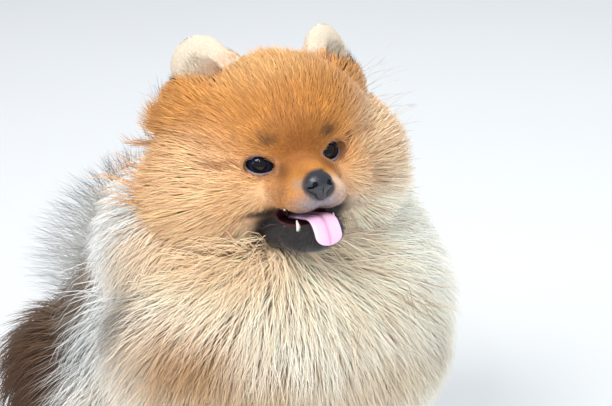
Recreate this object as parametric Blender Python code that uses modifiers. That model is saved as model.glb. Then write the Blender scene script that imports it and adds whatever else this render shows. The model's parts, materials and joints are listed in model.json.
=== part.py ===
"""A sitting Pomeranian with its head turned and its tongue out, life size, as a still model.

The dog faces -Y, +X is its left and +Z is up. It sits on the floor at z = 0.
Every size is in metres.
"""

import math
import random

import bmesh
import bpy
from mathutils import Euler, Matrix, Vector
from mathutils.bvhtree import BVHTree

# The gap that touching nodes keep, and the fineness of the soft forms.
GAP = 0.0003
BODY_VOXEL = 0.0030
HEAD_VOXEL = 0.0014
SMALL_VOXEL = 0.0008

# Moves the dog so that the middle of its outline stands over the origin.
STANCE = Vector((-0.0008, -0.0250, 0.0))

# The head hangs from the point between the eyes.
BETWEEN_EYES = Vector((-0.009, -0.066, 0.238))
HEAD_YAW = math.radians(-15)
HEAD_PITCH = math.radians(-14)
HEAD_ROLL = math.radians(-4.5)

# Outer shapes of the coat, out to the tips: centre, radii and turn about X.
COLLAR = ((0, -0.008, 0.188), (0.116, 0.068, 0.057), 0.0)
CHEST = ((0.004, -0.034, 0.132), (0.124, 0.084, 0.066), 0.0)
SHOULDERS = ((0.002, -0.014, 0.160), (0.122, 0.078, 0.052), 0.0)
BIB = ((0.004, -0.042, 0.094), (0.114, 0.068, 0.056), 0.0)
BACK = ((0, 0.040, 0.118), (0.084, 0.075, 0.076), 0.0)
RUMP = ((0, 0.094, 0.064), (0.092, 0.076, 0.072), 0.0)
PLUME = ((0, 0.126, 0.136), (0.080, 0.038, 0.081), math.radians(40))

# The solid core under the locks, which reaches at most half way to their tips.
COLLAR_CORE = ((0, 0.000, 0.176), (0.086, 0.052, 0.044), 0.0)
CHEST_CORE = ((0.002, -0.026, 0.132), (0.090, 0.062, 0.056), 0.0)
BIB_CORE = ((0.002, -0.036, 0.102), (0.080, 0.048, 0.042), 0.0)
BACK_CORE = ((0, 0.038, 0.112), (0.066, 0.066, 0.060), 0.0)
RUMP_CORE = ((0, 0.090, 0.050), (0.070, 0.064, 0.060), 0.0)
THIGH_CORE = ((0.060, 0.088, 0.056), (0.038, 0.062, 0.050), 0.0)
CROWN_CORE = ((0.001, 0.034, 0.009), (0.050, 0.042, 0.045), 0.0)
EAR_ROOT_CORE = ((0.033, 0.044, 0.026), (0.026, 0.024, 0.026), 0.0)
FLUFF_CORE = ((0.034, 0.037, -0.012), (0.035, 0.032, 0.037), 0.0)

# The dock of the tail, in the plume's own frame: it lies along the plume's inner face.
DOCK = ((0.0, -0.032, -0.060), (0.0, -0.020, -0.022), (0.0, -0.006, 0.026))
DOCK_RADII = (0.0135, 0.0110, 0.0060)

MANE_CORE = (COLLAR_CORE, CHEST_CORE, BIB_CORE)

# The middle of the face, in the head's frame, that the coat lies away from.
FACE_MIDDLE = (0.0, -0.005, -0.022)

# Locks of each coat: how many are tried all round, then length, width, thickness and rise.
MANE_LOCKS = 96
MANE_LOCK = (0.060, 0.037, 0.0056, 0.015)
BACK_LOCKS = 54
BACK_LOCK = (0.056, 0.036, 0.0052, 0.010)
THIGH_LOCKS = 24
THIGH_LOCK = (0.046, 0.032, 0.0046, 0.006)
HEAD_LOCKS = 66
HEAD_LOCK = (0.038, 0.030, 0.0042, 0.0045)

# Tiers of the tail's coat: how many locks, how long, how far they lean out of the fan, how wide
# the fan opens to each side, and where along the dock the middle and the outer ones are rooted.
PLUME_TIERS = (
    (9, 0.074, math.radians(4), math.radians(135), 1.0, 0.25),
    (5, 0.064, math.radians(24), math.radians(90), 0.62, 0.15),
    (3, 0.060, math.radians(30), math.radians(45), 0.22, 0.08),
)
PLUME_START = 0.004
PLUME_TURN = math.radians(2.5)
PLUME_LOCK = (0.036, 0.0052, 0.005)

# Locks: how far their roots are sunk, and how far their tips stay inside the outline.
LOCK_SINK = 0.007
LOCK_INSET = 0.0008
LOCK_STRAY = math.radians(14)
SEED = 11

# The trunk under the coat.
RIBS = ((0, -0.008, 0.118), (0.050, 0.056, 0.062), 0.0)
LOIN = ((0, 0.045, 0.100), (0.052, 0.055, 0.055), 0.0)

# One thigh, one foreleg and one hind foot, on the dog's left.
THIGH = ((0.068, 0.086, 0.057), (0.046, 0.070, 0.055), 0.0)
HIND_FOOT = ((0.064, 0.000, 0.009), (0.0165, 0.026, 0.0125), 0.0)
HOCK = (0.068, 0.078, 0.018)
INSTEP = (0.0645, 0.008, 0.012)
HOCK_RADII = (0.016, 0.0115)
HIND_TOE_SPREAD = 0.0068
HIND_TOE = (0.0058, 0.0090, 0.0080)
ELBOW = (0.034, -0.022, 0.092)
WRIST = (0.029, -0.038, 0.020)
FORE_FOOT = ((0.0285, -0.047, 0.009), (0.0155, 0.0185, 0.0120), 0.0)
FORELEG_RADII = (0.0200, 0.0145)
FORE_TOE_SPREAD = 0.0066
FORE_TOE = (0.0056, 0.0085, 0.0078)

# The head, in its own frame: x to the dog's left, -y ahead, z up, from between the eyes.
CROWN = ((0.002, 0.036, 0.011), (0.061, 0.046, 0.050), 0.0)
BROW = ((0, 0.010, 0.010), (0.029, 0.021, 0.022), 0.0)
EAR_ROOT = ((0.036, 0.044, 0.030), (0.029, 0.026, 0.029), 0.0)
NAPE = ((0, 0.060, -0.010), (0.045, 0.030, 0.045), 0.0)
NAPE_CORE = ((0, 0.060, -0.014), (0.040, 0.034, 0.044), 0.0)
FACE_ROOM = ((0, -0.012, -0.008), (0.045, 0.042, 0.041), 0.0)
CHEEK_LOCKS_BEHIND = 0.014
CHEEK_LOCKS_BELOW = 0.020
CHEEK = ((0.024, 0.024, -0.012), (0.027, 0.029, 0.026), 0.0)
CHEEK_FLUFF = ((0.040, 0.042, -0.014), (0.046, 0.040, 0.048), 0.0)
MUZZLE_BASE = ((0, -0.004, -0.013), (0.0225, 0.019, 0.0155), 0.0)
MUZZLE_MIDDLE = ((0, -0.016, -0.0145), (0.0175, 0.016, 0.0120), 0.0)
LIP_PAD = ((0.0068, -0.0230, -0.0185), (0.0115, 0.0115, 0.0085), 0.0)
BRIDGE = ((0, -0.014, -0.005), (0.0085, 0.020, 0.0065), 0.0)
PALATE = ((0, -0.003, -0.030), (0.0125, 0.025, 0.0075), 0.0)

JAW_SPACE = ((0, 0.002, -0.0415), (0.0250, 0.033, 0.0125), math.radians(8))
JAW_BACK = ((0, 0.010, -0.0400), (0.0225, 0.020, 0.0110), 0.0)
JAW_MIDDLE = ((0, -0.007, -0.0415), (0.0175, 0.017, 0.0100), 0.0)
CHIN = ((0, -0.0185, -0.0405), (0.0115, 0.0090, 0.0080), 0.0)
TONGUE_BED = ((0, -0.004, -0.0305), (0.0105, 0.025, 0.0045), 0.0)

# Teeth of one side of the lower jaw, front to back: place, base radius and height.
TEETH = (
    ((0.0112, -0.0165, -0.0385), 0.0013, 0.0070),
    ((0.0138, -0.0100, -0.0380), 0.0013, 0.0042),
    ((0.0158, -0.0030, -0.0380), 0.0014, 0.0040),
)
TOOTH_TIP = 0.0003

NOSE_PAD = ((0, -0.0335, -0.0105), (0.0085, 0.0062, 0.0068), 0.0)
NOSE_BASE = ((0, -0.0320, -0.0160), (0.0040, 0.0050, 0.0052), 0.0)
NOSTRIL = ((0.0041, -0.0392, -0.0105), (0.0020, 0.0035, 0.0021), 0.0)
NOSTRIL_SLIT = ((0.0066, -0.0370, -0.0128), (0.0026, 0.0032, 0.0010), 0.0)

EYE_CENTRE = (0.0180, 0.0072, 0.0)
EYE_RADIUS = 0.0088
EYE_SPLAY = math.radians(22)
EYE_SLANT = math.radians(9)
LID_THICKNESS = 0.0018
EYE_OPENING = (0.0079, 0.0120, 0.0049)

EAR_CENTRE = {1: (0.0420, 0.0470, 0.0430), -1: (-0.0290, 0.0470, 0.0490)}
EAR_BASE = ((0, 0, -0.0060), (0.0225, 0.0105, 0.0200), 0.0)
EAR_TIP = ((0, 0.0010, 0.0085), (0.0160, 0.0080, 0.0155), 0.0)
EAR_LEAN = math.radians(19)
EAR_TIP_BACK = math.radians(-14)
EAR_FACE_OUT = math.radians(34)
EAR_CUP = ((0, -0.0095, 0.0005), (0.0145, 0.0075, 0.0180), 0.0)

TONGUE_LINE = (
    (0.0, 0.012, -0.0330),
    (0.0, -0.008, -0.0318),
    (0.0, -0.022, -0.0310),
    (0.0003, -0.0300, -0.0325),
    (0.0008, -0.0345, -0.0372),
    (0.0013, -0.0362, -0.0425),
    (0.0016, -0.0366, -0.0468),
)
TONGUE_HALF_WIDTH = 0.0090
TONGUE_HALF_THICKNESS = 0.0017
TONGUE_HALF_LENGTH = 0.0030

COAT_ORANGE = (0.66, 0.35, 0.13)
COAT_CREAM = (0.80, 0.62, 0.42)
COAT_SABLE = (0.20, 0.12, 0.06)
COAT_WHITE = (0.62, 0.55, 0.45)
LIP_BLACK = (0.035, 0.030, 0.032)
NOSE_BLACK = (0.030, 0.034, 0.042)
EYE_BROWN = (0.020, 0.012, 0.008)
TONGUE_PINK = (0.72, 0.38, 0.48)


def clear_scene():
    """Removes what the file holds at the start."""
    for obj in list(bpy.data.objects):
        bpy.data.objects.remove(obj)


def collection(name, hidden=False):
    made = bpy.data.collections.new(name)
    made.hide_render = hidden
    bpy.context.scene.collection.children.link(made)
    return made


def head_matrix():
    """From the head's own frame to the dog's."""
    turn = Euler((0, 0, HEAD_YAW)).to_matrix() @ Euler((HEAD_PITCH, 0, 0)).to_matrix()
    turn = turn @ Euler((0, HEAD_ROLL, 0)).to_matrix()
    return Matrix.Translation(BETWEEN_EYES) @ turn.to_4x4()


def mirrored(shape, side):
    """The same shape on the dog's left (side 1) or right (side -1)."""
    (x, y, z), radii, turn = shape
    return ((x * side, y, z), radii, turn)


def placed(shape, grow=0.0):
    """The matrix that makes a unit ball into this shape."""
    centre, radii, turn = shape
    spin = Euler((turn, 0, 0)).to_matrix().to_4x4()
    size = Matrix.Diagonal([r + grow for r in radii] + [1])
    return Matrix.Translation(centre) @ spin @ size


def ball(name, matrix, segments=16, rings=10):
    """A ball stretched by a matrix, as an object of its own."""
    bm = bmesh.new()
    bmesh.ops.create_uvsphere(bm, u_segments=segments, v_segments=rings, radius=1, matrix=matrix)
    mesh = bpy.data.meshes.new(name)
    bm.to_mesh(mesh)
    bm.free()
    obj = bpy.data.objects.new(name, mesh)
    workshop.objects.link(obj)
    return obj


def shaped(name, shape, frame=None, grow=0.0, segments=16, rings=10):
    matrix = placed(shape, grow)
    return ball(name, frame @ matrix if frame else matrix, segments, rings)


def evaluated_mesh(obj):
    """The object's mesh with its modifiers applied, in world space."""
    bpy.context.view_layer.update()
    graph = bpy.context.evaluated_depsgraph_get()
    mesh = bpy.data.meshes.new_from_object(obj.evaluated_get(graph))
    mesh.transform(obj.matrix_world)
    return mesh


def apply_modifiers(obj):
    mesh = evaluated_mesh(obj)
    obj.modifiers.clear()
    obj.data = mesh
    obj.matrix_world = Matrix.Identity(4)
    return obj


def joined(name, objects):
    """One object that holds all these, still as separate shells."""
    bm = bmesh.new()
    for obj in objects:
        bm.from_mesh(obj.data)
        bpy.data.objects.remove(obj)
    mesh = bpy.data.meshes.new(name)
    bm.to_mesh(mesh)
    bm.free()
    obj = bpy.data.objects.new(name, mesh)
    workshop.objects.link(obj)
    return obj


def melted(name, objects, voxel, smoothing, triangles):
    """Overlapping shapes melted into one soft skin of about this many triangles."""
    obj = joined(name, objects)
    remesh = obj.modifiers.new("skin", "REMESH")
    remesh.mode = "VOXEL"
    remesh.voxel_size = voxel
    smooth = obj.modifiers.new("soften", "SMOOTH")
    smooth.factor = 0.5
    smooth.iterations = smoothing
    apply_modifiers(obj)
    faces = sum(len(p.vertices) - 2 for p in obj.data.polygons)
    thin = obj.modifiers.new("thin", "DECIMATE")
    thin.ratio = min(1.0, triangles / faces)
    return apply_modifiers(obj)


def boolean(obj, other, operation, solver="MANIFOLD"):
    """Applies one Boolean and removes the other object."""
    step = obj.modifiers.new(operation, "BOOLEAN")
    step.operation = operation
    step.solver = solver
    step.object = other
    apply_modifiers(obj)
    bpy.data.objects.remove(other)
    return obj


def carved(obj, *cutters):
    for cutter in cutters:
        boolean(obj, cutter, "DIFFERENCE")
    return obj


def kept_inside(obj, space):
    return boolean(obj, space, "INTERSECT")


def copy_of(obj):
    twin = bpy.data.objects.new(obj.name, obj.data.copy())
    workshop.objects.link(twin)
    return twin


def room_of(blank, gap=GAP):
    """A copy of a finished shape that is this much larger all round, to carve its neighbours."""
    room = bpy.data.objects.new("room", blank.data.copy())
    workshop.objects.link(room)
    swell = room.modifiers.new("swell", "DISPLACE")
    swell.strength = gap
    swell.mid_level = 0.0
    return apply_modifiers(room)


def added(obj, *others):
    for other in others:
        boolean(obj, other, "UNION")
    return obj


def surface_of(obj):
    """A tree of the object's faces, to find points on its surface."""
    bm = bmesh.new()
    bm.from_mesh(obj.data)
    tree = BVHTree.FromBMesh(bm)
    bm.free()
    return tree


def within(point, shape, grow=0.0):
    return (placed(shape, grow).inverted() @ point).length < 1


def directions(count):
    """Unit vectors spread evenly all round, along a spiral from pole to pole."""
    golden = math.pi * (3 - math.sqrt(5))
    for i in range(count):
        z = 1 - 2 * (i + 0.5) / count
        ring = math.sqrt(1 - z * z)
        yield Vector((ring * math.cos(golden * i), ring * math.sin(golden * i), z))


def flattened(vector, normal):
    """The part of a vector that lies along the surface, one long."""
    return (vector - normal * vector.dot(normal)).normalized()


def lock(root, normal, lie, size, outline, draw):
    """A flat tapered lock: rooted in the core, bent over along its lie, its tip at the outline."""
    length, width, thickness, rise = (value * draw.uniform(0.88, 1.14) for value in size)
    lie = Matrix.Rotation(draw.uniform(-LOCK_STRAY, LOCK_STRAY), 3, normal) @ lie
    side = normal.cross(lie)
    reach = root + lie * length + normal * rise
    tip, outward, _, _ = outline.find_nearest(reach)
    tip -= outward * LOCK_INSET
    knee = root + normal * rise + lie * length * 0.35 + side * draw.uniform(-0.2, 0.2) * width
    start = root - normal * LOCK_SINK
    stations = ((0.0, 0.75, 0.9), (0.42, 1.0, 1.0), (0.74, 0.72, 0.75))
    bm = bmesh.new()
    rings = []
    for t, wide, thick in stations:
        centre = start.lerp(knee, t).lerp(knee.lerp(tip, t), t)
        up = normal.lerp(outward, t).normalized()
        across = side * width * wide / 2
        over = up * thickness * thick
        corners = (centre + across, centre + over, centre - across)
        rings.append([bm.verts.new(corner) for corner in corners])
    end = bm.verts.new(tip)
    for i in range(3):
        for lower, upper in zip(rings, rings[1:]):
            bm.faces.new((lower[i], lower[i - 2], upper[i - 2], upper[i]))
        bm.faces.new((rings[-1][i], rings[-1][i - 2], end))
    bm.faces.new(rings[0])
    bmesh.ops.recalc_face_normals(bm, faces=bm.faces)
    if bm.calc_volume(signed=True) < 0:
        bmesh.ops.reverse_faces(bm, faces=bm.faces)
    add_piece("lock", bm)


def add_piece(name, bm):
    """Puts a small closed shape with those that are joined to a node next."""
    bmesh.ops.triangulate(bm, faces=bm.faces)
    mesh = bpy.data.meshes.new(name)
    bm.to_mesh(mesh)
    bm.free()
    pieces.objects.link(bpy.data.objects.new(name, mesh))


def with_locks(core, envelope, count, size, lie_at, grows_at, seed):
    """The core with locks over it, joined in one union and kept inside the envelope."""
    draw = random.Random(SEED + seed)
    skin, outline = surface_of(core), surface_of(envelope)
    middle = sum((v.co for v in core.data.vertices), Vector()) / len(core.data.vertices)
    for direction in directions(count):
        root, normal, _, _ = skin.ray_cast(middle + direction, -direction)
        if root is None or not grows_at(root, normal):
            continue
        lie = flattened(lie_at(root), normal)
        lock(root, normal, lie, size, outline, draw)
    return kept_inside(with_pieces(core), copy_of(envelope))


def with_pieces(core):
    """Joins all the locks or teeth made so far to the core, in one union."""
    step = core.modifiers.new("pieces", "BOOLEAN")
    step.operation = "UNION"
    step.solver = "MANIFOLD"
    step.operand_type = "COLLECTION"
    step.collection = pieces
    apply_modifiers(core)
    for piece in list(pieces.objects):
        bpy.data.objects.remove(piece)
    return core


def largest_surface(obj):
    """Keeps the largest closed surface and drops the rest."""
    bm = bmesh.new()
    bm.from_mesh(obj.data)
    seen = set()
    islands = []
    for start in bm.faces:
        if start in seen:
            continue
        seen.add(start)
        island, stack = [], [start]
        while stack:
            face = stack.pop()
            island.append(face)
            for edge in face.edges:
                if len(edge.link_faces) == 2:
                    other = edge.link_faces[0] if edge.link_faces[1] == face else edge.link_faces[1]
                    if other not in seen:
                        seen.add(other)
                        stack.append(other)
        islands.append(island)
    islands.sort(key=extent_of, reverse=True)
    loose = [face for island in islands[1:] for face in island]
    bmesh.ops.delete(bm, geom=loose, context="FACES")
    bm.to_mesh(obj.data)
    bm.free()
    return obj


def extent_of(faces):
    """The diagonal of the box round these faces."""
    points = [vert.co for face in faces for vert in face.verts]
    low = [min(point[i] for point in points) for i in range(3)]
    high = [max(point[i] for point in points) for i in range(3)]
    return (Vector(high) - Vector(low)).length


def paint(name, colour, roughness):
    material = bpy.data.materials.new(name)
    material.use_nodes = True
    shader = material.node_tree.nodes["Principled BSDF"]
    shader.inputs["Base Color"].default_value = (*colour, 1)
    shader.inputs["Roughness"].default_value = roughness
    shader.inputs["Metallic"].default_value = 0.0
    return material


def finished(name, obj, material):
    """Names the node, shades it, gives it its material and stands it on the floor."""
    largest_surface(obj)
    obj.name = name
    obj.data.name = name
    obj.data.materials.clear()
    obj.data.materials.append(material)
    obj.data.shade_smooth()
    obj.data.set_sharp_from_angle(angle=math.radians(50))
    obj.location = STANCE
    workshop.objects.unlink(obj)
    dog.objects.link(obj)
    return obj


def floor_block():
    """What lies under the floor."""
    bm = bmesh.new()
    bmesh.ops.create_cube(bm, size=1.0, matrix=Matrix.Translation((0, 0, -0.5)))
    mesh = bpy.data.meshes.new("floor_block")
    bm.to_mesh(mesh)
    bm.free()
    obj = bpy.data.objects.new("floor_block", mesh)
    workshop.objects.link(obj)
    return obj


def limb(name, points, radii, steps=10):
    """Balls of changing size strung along straight runs between points."""
    balls = []
    for i in range(len(points) - 1):
        start, end = Vector(points[i]), Vector(points[i + 1])
        for k in range(steps + 1):
            t = k / steps
            r = radii[i] + (radii[i + 1] - radii[i]) * t
            balls.append(shaped(name, (start.lerp(end, t), (r, r, r), 0.0), segments=16, rings=10))
    return balls


def foreleg_balls(side):
    elbow = (ELBOW[0] * side, ELBOW[1], ELBOW[2])
    wrist = (WRIST[0] * side, WRIST[1], WRIST[2])
    return limb("foreleg", (elbow, wrist), FORELEG_RADII)


def paw_balls(foot, toe, spread, side):
    """A paw with four toes, the middle two set ahead of the others."""
    (x, y, z), radii, _ = foot
    balls = [shaped("paw", mirrored(foot, side))]
    for place in (-1.5, -0.5, 0.5, 1.5):
        ahead = radii[1] * (0.86 if abs(place) < 1 else 0.66)
        centre = (x * side + place * spread, y - ahead, toe[2] * 0.9)
        balls.append(shaped("toe", (centre, toe, 0.0)))
    return balls


def foreleg_blank(side):
    balls = foreleg_balls(side) + paw_balls(FORE_FOOT, FORE_TOE, FORE_TOE_SPREAD, side)
    leg = melted("foreleg", balls, HEAD_VOXEL, 6, 300)
    return carved(leg, floor_block())


def thigh_lie(point):
    return Vector((0, 0.45, -0.9))


def foot_blank(side):
    """The long hind foot that lies on the floor, from the hock to the toes."""
    hock = [(x * side, y, z) for x, y, z in (HOCK, INSTEP)]
    balls = limb("hock", hock, HOCK_RADII) + paw_balls(HIND_FOOT, HIND_TOE, HIND_TOE_SPREAD, side)
    return melted("foot", balls, HEAD_VOXEL, 6, 260)


def make_hindleg(side, name):
    def thigh_grows(root, normal):
        return normal.x * side > -0.1 and normal.z > -0.6

    core = shaped("core", mirrored(THIGH_CORE, side))
    leg = with_locks(core, thighs[side], THIGH_LOCKS, THIGH_LOCK, thigh_lie, thigh_grows, 3)
    added(leg, feet[side])
    carved(leg, floor_block(), room_of(mane))
    return finished(name, leg, sable)


def ribs_space():
    return shaped("ribs_space", RIBS, grow=GAP)


def back_lie(point):
    """The coat of the back lies backwards and falls away down both sides."""
    return Vector((point.x * 4, 0.9, -0.45))


def back_grows(root, normal):
    covered = [mirrored(THIGH, side) for side in (1, -1)] + [CHEST_CORE, COLLAR_CORE]
    return root.z > 0.035 and not any(within(root, shape) for shape in covered)


def make_torso():
    balls = [shaped("rear", shape) for shape in (BACK, RUMP)]
    outline = melted("outline", balls, BODY_VOXEL, 10, 320)
    core = melted("core", [shaped("core", s) for s in (BACK_CORE, RUMP_CORE, LOIN)], BODY_VOXEL, 8, 260)
    rear = with_locks(core, outline, BACK_LOCKS, BACK_LOCK, back_lie, back_grows, 2)
    bpy.data.objects.remove(outline)
    carved(rear, room_of(mane))
    added(rear, shaped("ribs", RIBS))
    legs = list(forelegs.values()) + list(thighs.values()) + list(feet.values())
    carved(rear, *[room_of(leg) for leg in legs], room_of(skull), room_of(plume), floor_block())
    return finished("torso", rear, sable)


def paired(*shapes):
    return [mirrored(shape, side) for shape in shapes for side in (1, -1)]


def head_outline():
    """The head out to the tips of its coat, with room round the face."""
    shapes = [CROWN, NAPE, FACE_ROOM] + paired(CHEEK, CHEEK_FLUFF, EAR_ROOT)
    balls = [shaped("outline", shape, HEAD) for shape in shapes]
    return melted("outline", balls, HEAD_VOXEL * 2, 20, 340)


def mane_blank():
    balls = [shaped("mane", shape) for shape in (COLLAR, SHOULDERS, CHEST, BIB)]
    return melted("mane", balls, BODY_VOXEL, 16, 460)


def from_face(point):
    """The mane lies away from the mouth, back and down."""
    away = point - HEAD @ Vector(FACE_MIDDLE)
    return away.normalized() + Vector((0, 0.15, -0.55))


def mane_grows(root, normal):
    in_head = HEAD.inverted() @ root
    hidden = any(within(in_head, shape) for shape in [CROWN, FACE_ROOM, NAPE] + paired(FLUFF_CORE))
    return not hidden and not within(root, BACK_CORE) and normal.z > -0.75


def make_neck():
    core = melted("core", [shaped("core", shape) for shape in MANE_CORE], BODY_VOXEL, 8, 300)
    coat = with_locks(core, mane, MANE_LOCKS, MANE_LOCK, from_face, mane_grows, 1)
    jaw = shaped("jaw_space", JAW_SPACE, HEAD, grow=GAP)
    legs = [room_of(leg) for leg in forelegs.values()]
    carved(coat, room_of(skull), room_of(tongue), jaw, ribs_space(), *legs)
    return finished("neck", coat, cream)


def make_tail():
    """The dock curls up over the back, and its long coat fans out from it in tiers."""
    frame = Matrix.Translation(PLUME[0]) @ Euler((PLUME[2], 0, 0)).to_matrix().to_4x4()
    dock = limb("dock", [frame @ Vector(point) for point in DOCK], DOCK_RADII)
    tail = melted("tail", dock, HEAD_VOXEL, 4, 220)
    outline = surface_of(plume)
    draw = random.Random(SEED)
    outward = (frame.to_3x3() @ Vector((0, 1, 0))).normalized()
    for count, length, lean, spread, middle, outer in PLUME_TIERS:
        for i in range(count):
            turn = spread * (2 * (i + 0.5) / count - 1)
            along = middle + (outer - middle) * abs(turn) / spread
            turn += PLUME_TURN
            flat = frame.to_3x3() @ Vector((math.sin(turn), 0, math.cos(turn)))
            lie = flat * math.cos(lean) + outward * math.sin(lean)
            root = frame @ Vector(DOCK[0]).lerp(Vector(DOCK[2]), along) + flat * PLUME_START
            normal = outward * math.cos(lean) - flat * math.sin(lean)
            lock(root, normal, lie, (length, *PLUME_LOCK), outline, draw)
    kept_inside(with_pieces(tail), copy_of(plume))
    carved(tail, room_of(mane), *[room_of(thigh) for thigh in thighs.values()])
    return finished("tail", tail, white)


def eye_frame(side):
    """At the eyeball's centre, with -y along the gaze and x along the lids."""
    x, y, z = EYE_CENTRE
    turn = Euler((0, 0, EYE_SPLAY * side)).to_matrix()
    turn = turn @ Euler((0, -EYE_SLANT * side, 0)).to_matrix()
    return HEAD @ Matrix.Translation((x * side, y, z)) @ turn.to_4x4()


def ear_frame(side):
    """At the middle of the ear, with z to its tip and -y out of its cup."""
    turn = Euler((EAR_TIP_BACK, EAR_LEAN * side, 0)).to_matrix()
    turn = turn @ Euler((0, 0, EAR_FACE_OUT * side)).to_matrix()
    return HEAD @ Matrix.Translation(EAR_CENTRE[side]) @ turn.to_4x4()


def ear_blank(side):
    balls = [shaped("ear", shape, ear_frame(side)) for shape in (EAR_BASE, EAR_TIP)]
    return melted("ear", balls, SMALL_VOXEL, 3, 180)


def make_ear(side, name):
    cup = shaped("cup", EAR_CUP, ear_frame(side))
    return finished(name, carved(ears[side], cup), white)


def make_eye(side, name):
    radii = (EYE_RADIUS, EYE_RADIUS, EYE_RADIUS)
    eye = shaped("eye", ((0, 0, 0), radii, 0.0), eye_frame(side), segments=16, rings=8)
    return finished(name, eye, eye_brown)


def head_core():
    rear = [CROWN_CORE, BROW, NAPE_CORE] + paired(CHEEK, FLUFF_CORE, EAR_ROOT_CORE)
    front = [MUZZLE_BASE, MUZZLE_MIDDLE, BRIDGE] + paired(LIP_PAD)
    balls = [shaped("head", shape, HEAD) for shape in rear + front]
    return melted("head", balls, HEAD_VOXEL, 12, 840)


def cheek_lie(point):
    """The head's coat lies back from the face, and falls a little at the cheeks."""
    away = (point - HEAD @ Vector(FACE_MIDDLE)).normalized()
    return away + HEAD.to_3x3() @ Vector((0, 0.35, -0.15))


def cheek_grows(root, normal):
    """Long locks grow on the cheeks, behind them and on the nape, clear of eyes and ears."""
    _, y, z = HEAD.inverted() @ root
    covered = within(root, COLLAR, -0.030)
    return y > CHEEK_LOCKS_BEHIND and z < CHEEK_LOCKS_BELOW and not covered


def make_head():
    head = with_locks(head_core(), skull, HEAD_LOCKS, HEAD_LOCK, cheek_lie, cheek_grows, 4)
    ball_radii = (EYE_RADIUS + LID_THICKNESS,) * 3
    socket_radii = (EYE_RADIUS + GAP,) * 3
    ahead = (0, -EYE_OPENING[1] * 0.85, 0)
    for side in (1, -1):
        frame = eye_frame(side)
        added(head, shaped("lids", ((0, 0, 0), ball_radii, 0.0), frame))
        carved(head, shaped("socket", ((0, 0, 0), socket_radii, 0.0), frame))
        carved(head, shaped("opening", (ahead, EYE_OPENING, 0.0), frame))
        carved(head, room_of(ears[side]))
    carved(head, shaped("palate", PALATE, HEAD), room_of(nose), room_of(tongue))
    carved(head, shaped("jaw_space", JAW_SPACE, HEAD, grow=GAP))
    return finished("head", head, orange)


def nose_blank():
    shapes = [shaped("nose", shape, HEAD) for shape in (NOSE_PAD, NOSE_BASE)]
    return melted("nose", shapes, SMALL_VOXEL, 3, 150)


def make_nose(nose):
    for side in (1, -1):
        carved(nose, shaped("nostril", mirrored(NOSTRIL, side), HEAD, segments=10, rings=6))
        carved(nose, shaped("slit", mirrored(NOSTRIL_SLIT, side), HEAD, segments=10, rings=6))
    return finished("nose", nose, nose_black)


def tongue_blank():
    """A flat tongue that rounds off at its tip."""
    balls = []
    count = 9
    last = len(TONGUE_LINE) - 1
    for i in range(last):
        start, end = Vector(TONGUE_LINE[i]), Vector(TONGUE_LINE[i + 1])
        tilt = math.atan2(end.z - start.z, -(end.y - start.y))
        for k in range(count):
            centre = start.lerp(end, k / count)
            along = (i + k / count) / last
            width = TONGUE_HALF_WIDTH * (0.72 + 0.28 * math.sin(math.pi * min(1, along)))
            radii = (width, TONGUE_HALF_LENGTH, TONGUE_HALF_THICKNESS)
            balls.append(shaped("tongue", (centre, radii, -tilt), HEAD, segments=16, rings=8))
    return melted("tongue", balls, SMALL_VOXEL, 3, 200)


def make_jaw():
    shapes = (JAW_BACK, JAW_MIDDLE, CHIN)
    balls = [shaped("jaw", shape, HEAD) for shape in shapes]
    jaw = melted("jaw", balls, HEAD_VOXEL, 3, 240)
    kept_inside(jaw, shaped("jaw_space", JAW_SPACE, HEAD))
    carved(jaw, shaped("bed", TONGUE_BED, HEAD), room_of(tongue))
    for side in (1, -1):
        for (x, y, z), radius, height in TEETH:
            tooth((x * side, y, z + height / 2), radius, height)
    return finished("lower_jaw", with_pieces(jaw), lip_black)


def tooth(centre, radius, height):
    bm = bmesh.new()
    matrix = HEAD @ Matrix.Translation(centre)
    bmesh.ops.create_cone(
        bm, cap_ends=True, segments=5, radius1=radius, radius2=TOOTH_TIP, depth=height, matrix=matrix
    )
    add_piece("tooth", bm)


clear_scene()
dog = collection("pomeranian")
workshop = collection("workshop", hidden=True)
pieces = collection("pieces", hidden=True)
HEAD = head_matrix()

orange = paint("orange_coat", COAT_ORANGE, 0.9)
cream = paint("cream_coat", COAT_CREAM, 0.9)
sable = paint("sable_coat", COAT_SABLE, 0.9)
white = paint("pale_coat", COAT_WHITE, 0.9)
lip_black = paint("black_lip", LIP_BLACK, 0.5)
nose_black = paint("nose_leather", NOSE_BLACK, 0.4)
eye_brown = paint("eye", EYE_BROWN, 0.05)
tongue_pink = paint("tongue_flesh", TONGUE_PINK, 0.35)

tongue = tongue_blank()
nose = nose_blank()
skull = head_outline()
forelegs = {side: foreleg_blank(side) for side in (1, -1)}
mane = mane_blank()
ears = {side: ear_blank(side) for side in (1, -1)}
thighs = {side: shaped("thigh", mirrored(THIGH, side)) for side in (1, -1)}
feet = {side: foot_blank(side) for side in (1, -1)}
plume = shaped("plume", PLUME)

make_torso()
make_neck()
make_jaw()
make_tail()
make_head()
make_nose(nose)
finished("tongue", tongue, tongue_pink)
for side, word in ((1, "left"), (-1, "right")):
    make_eye(side, f"eye_{word}")
    make_ear(side, f"ear_{word}")
    make_hindleg(side, f"hindleg_{word}")
    finished(f"foreleg_{word}", forelegs[side], orange)
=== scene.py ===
"""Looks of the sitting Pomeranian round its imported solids: skin, coat, eyes, nose, mouth and claws.

Every size is in metres. The dog faces -Y, +X is its left and +Z is up.
"""

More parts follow.
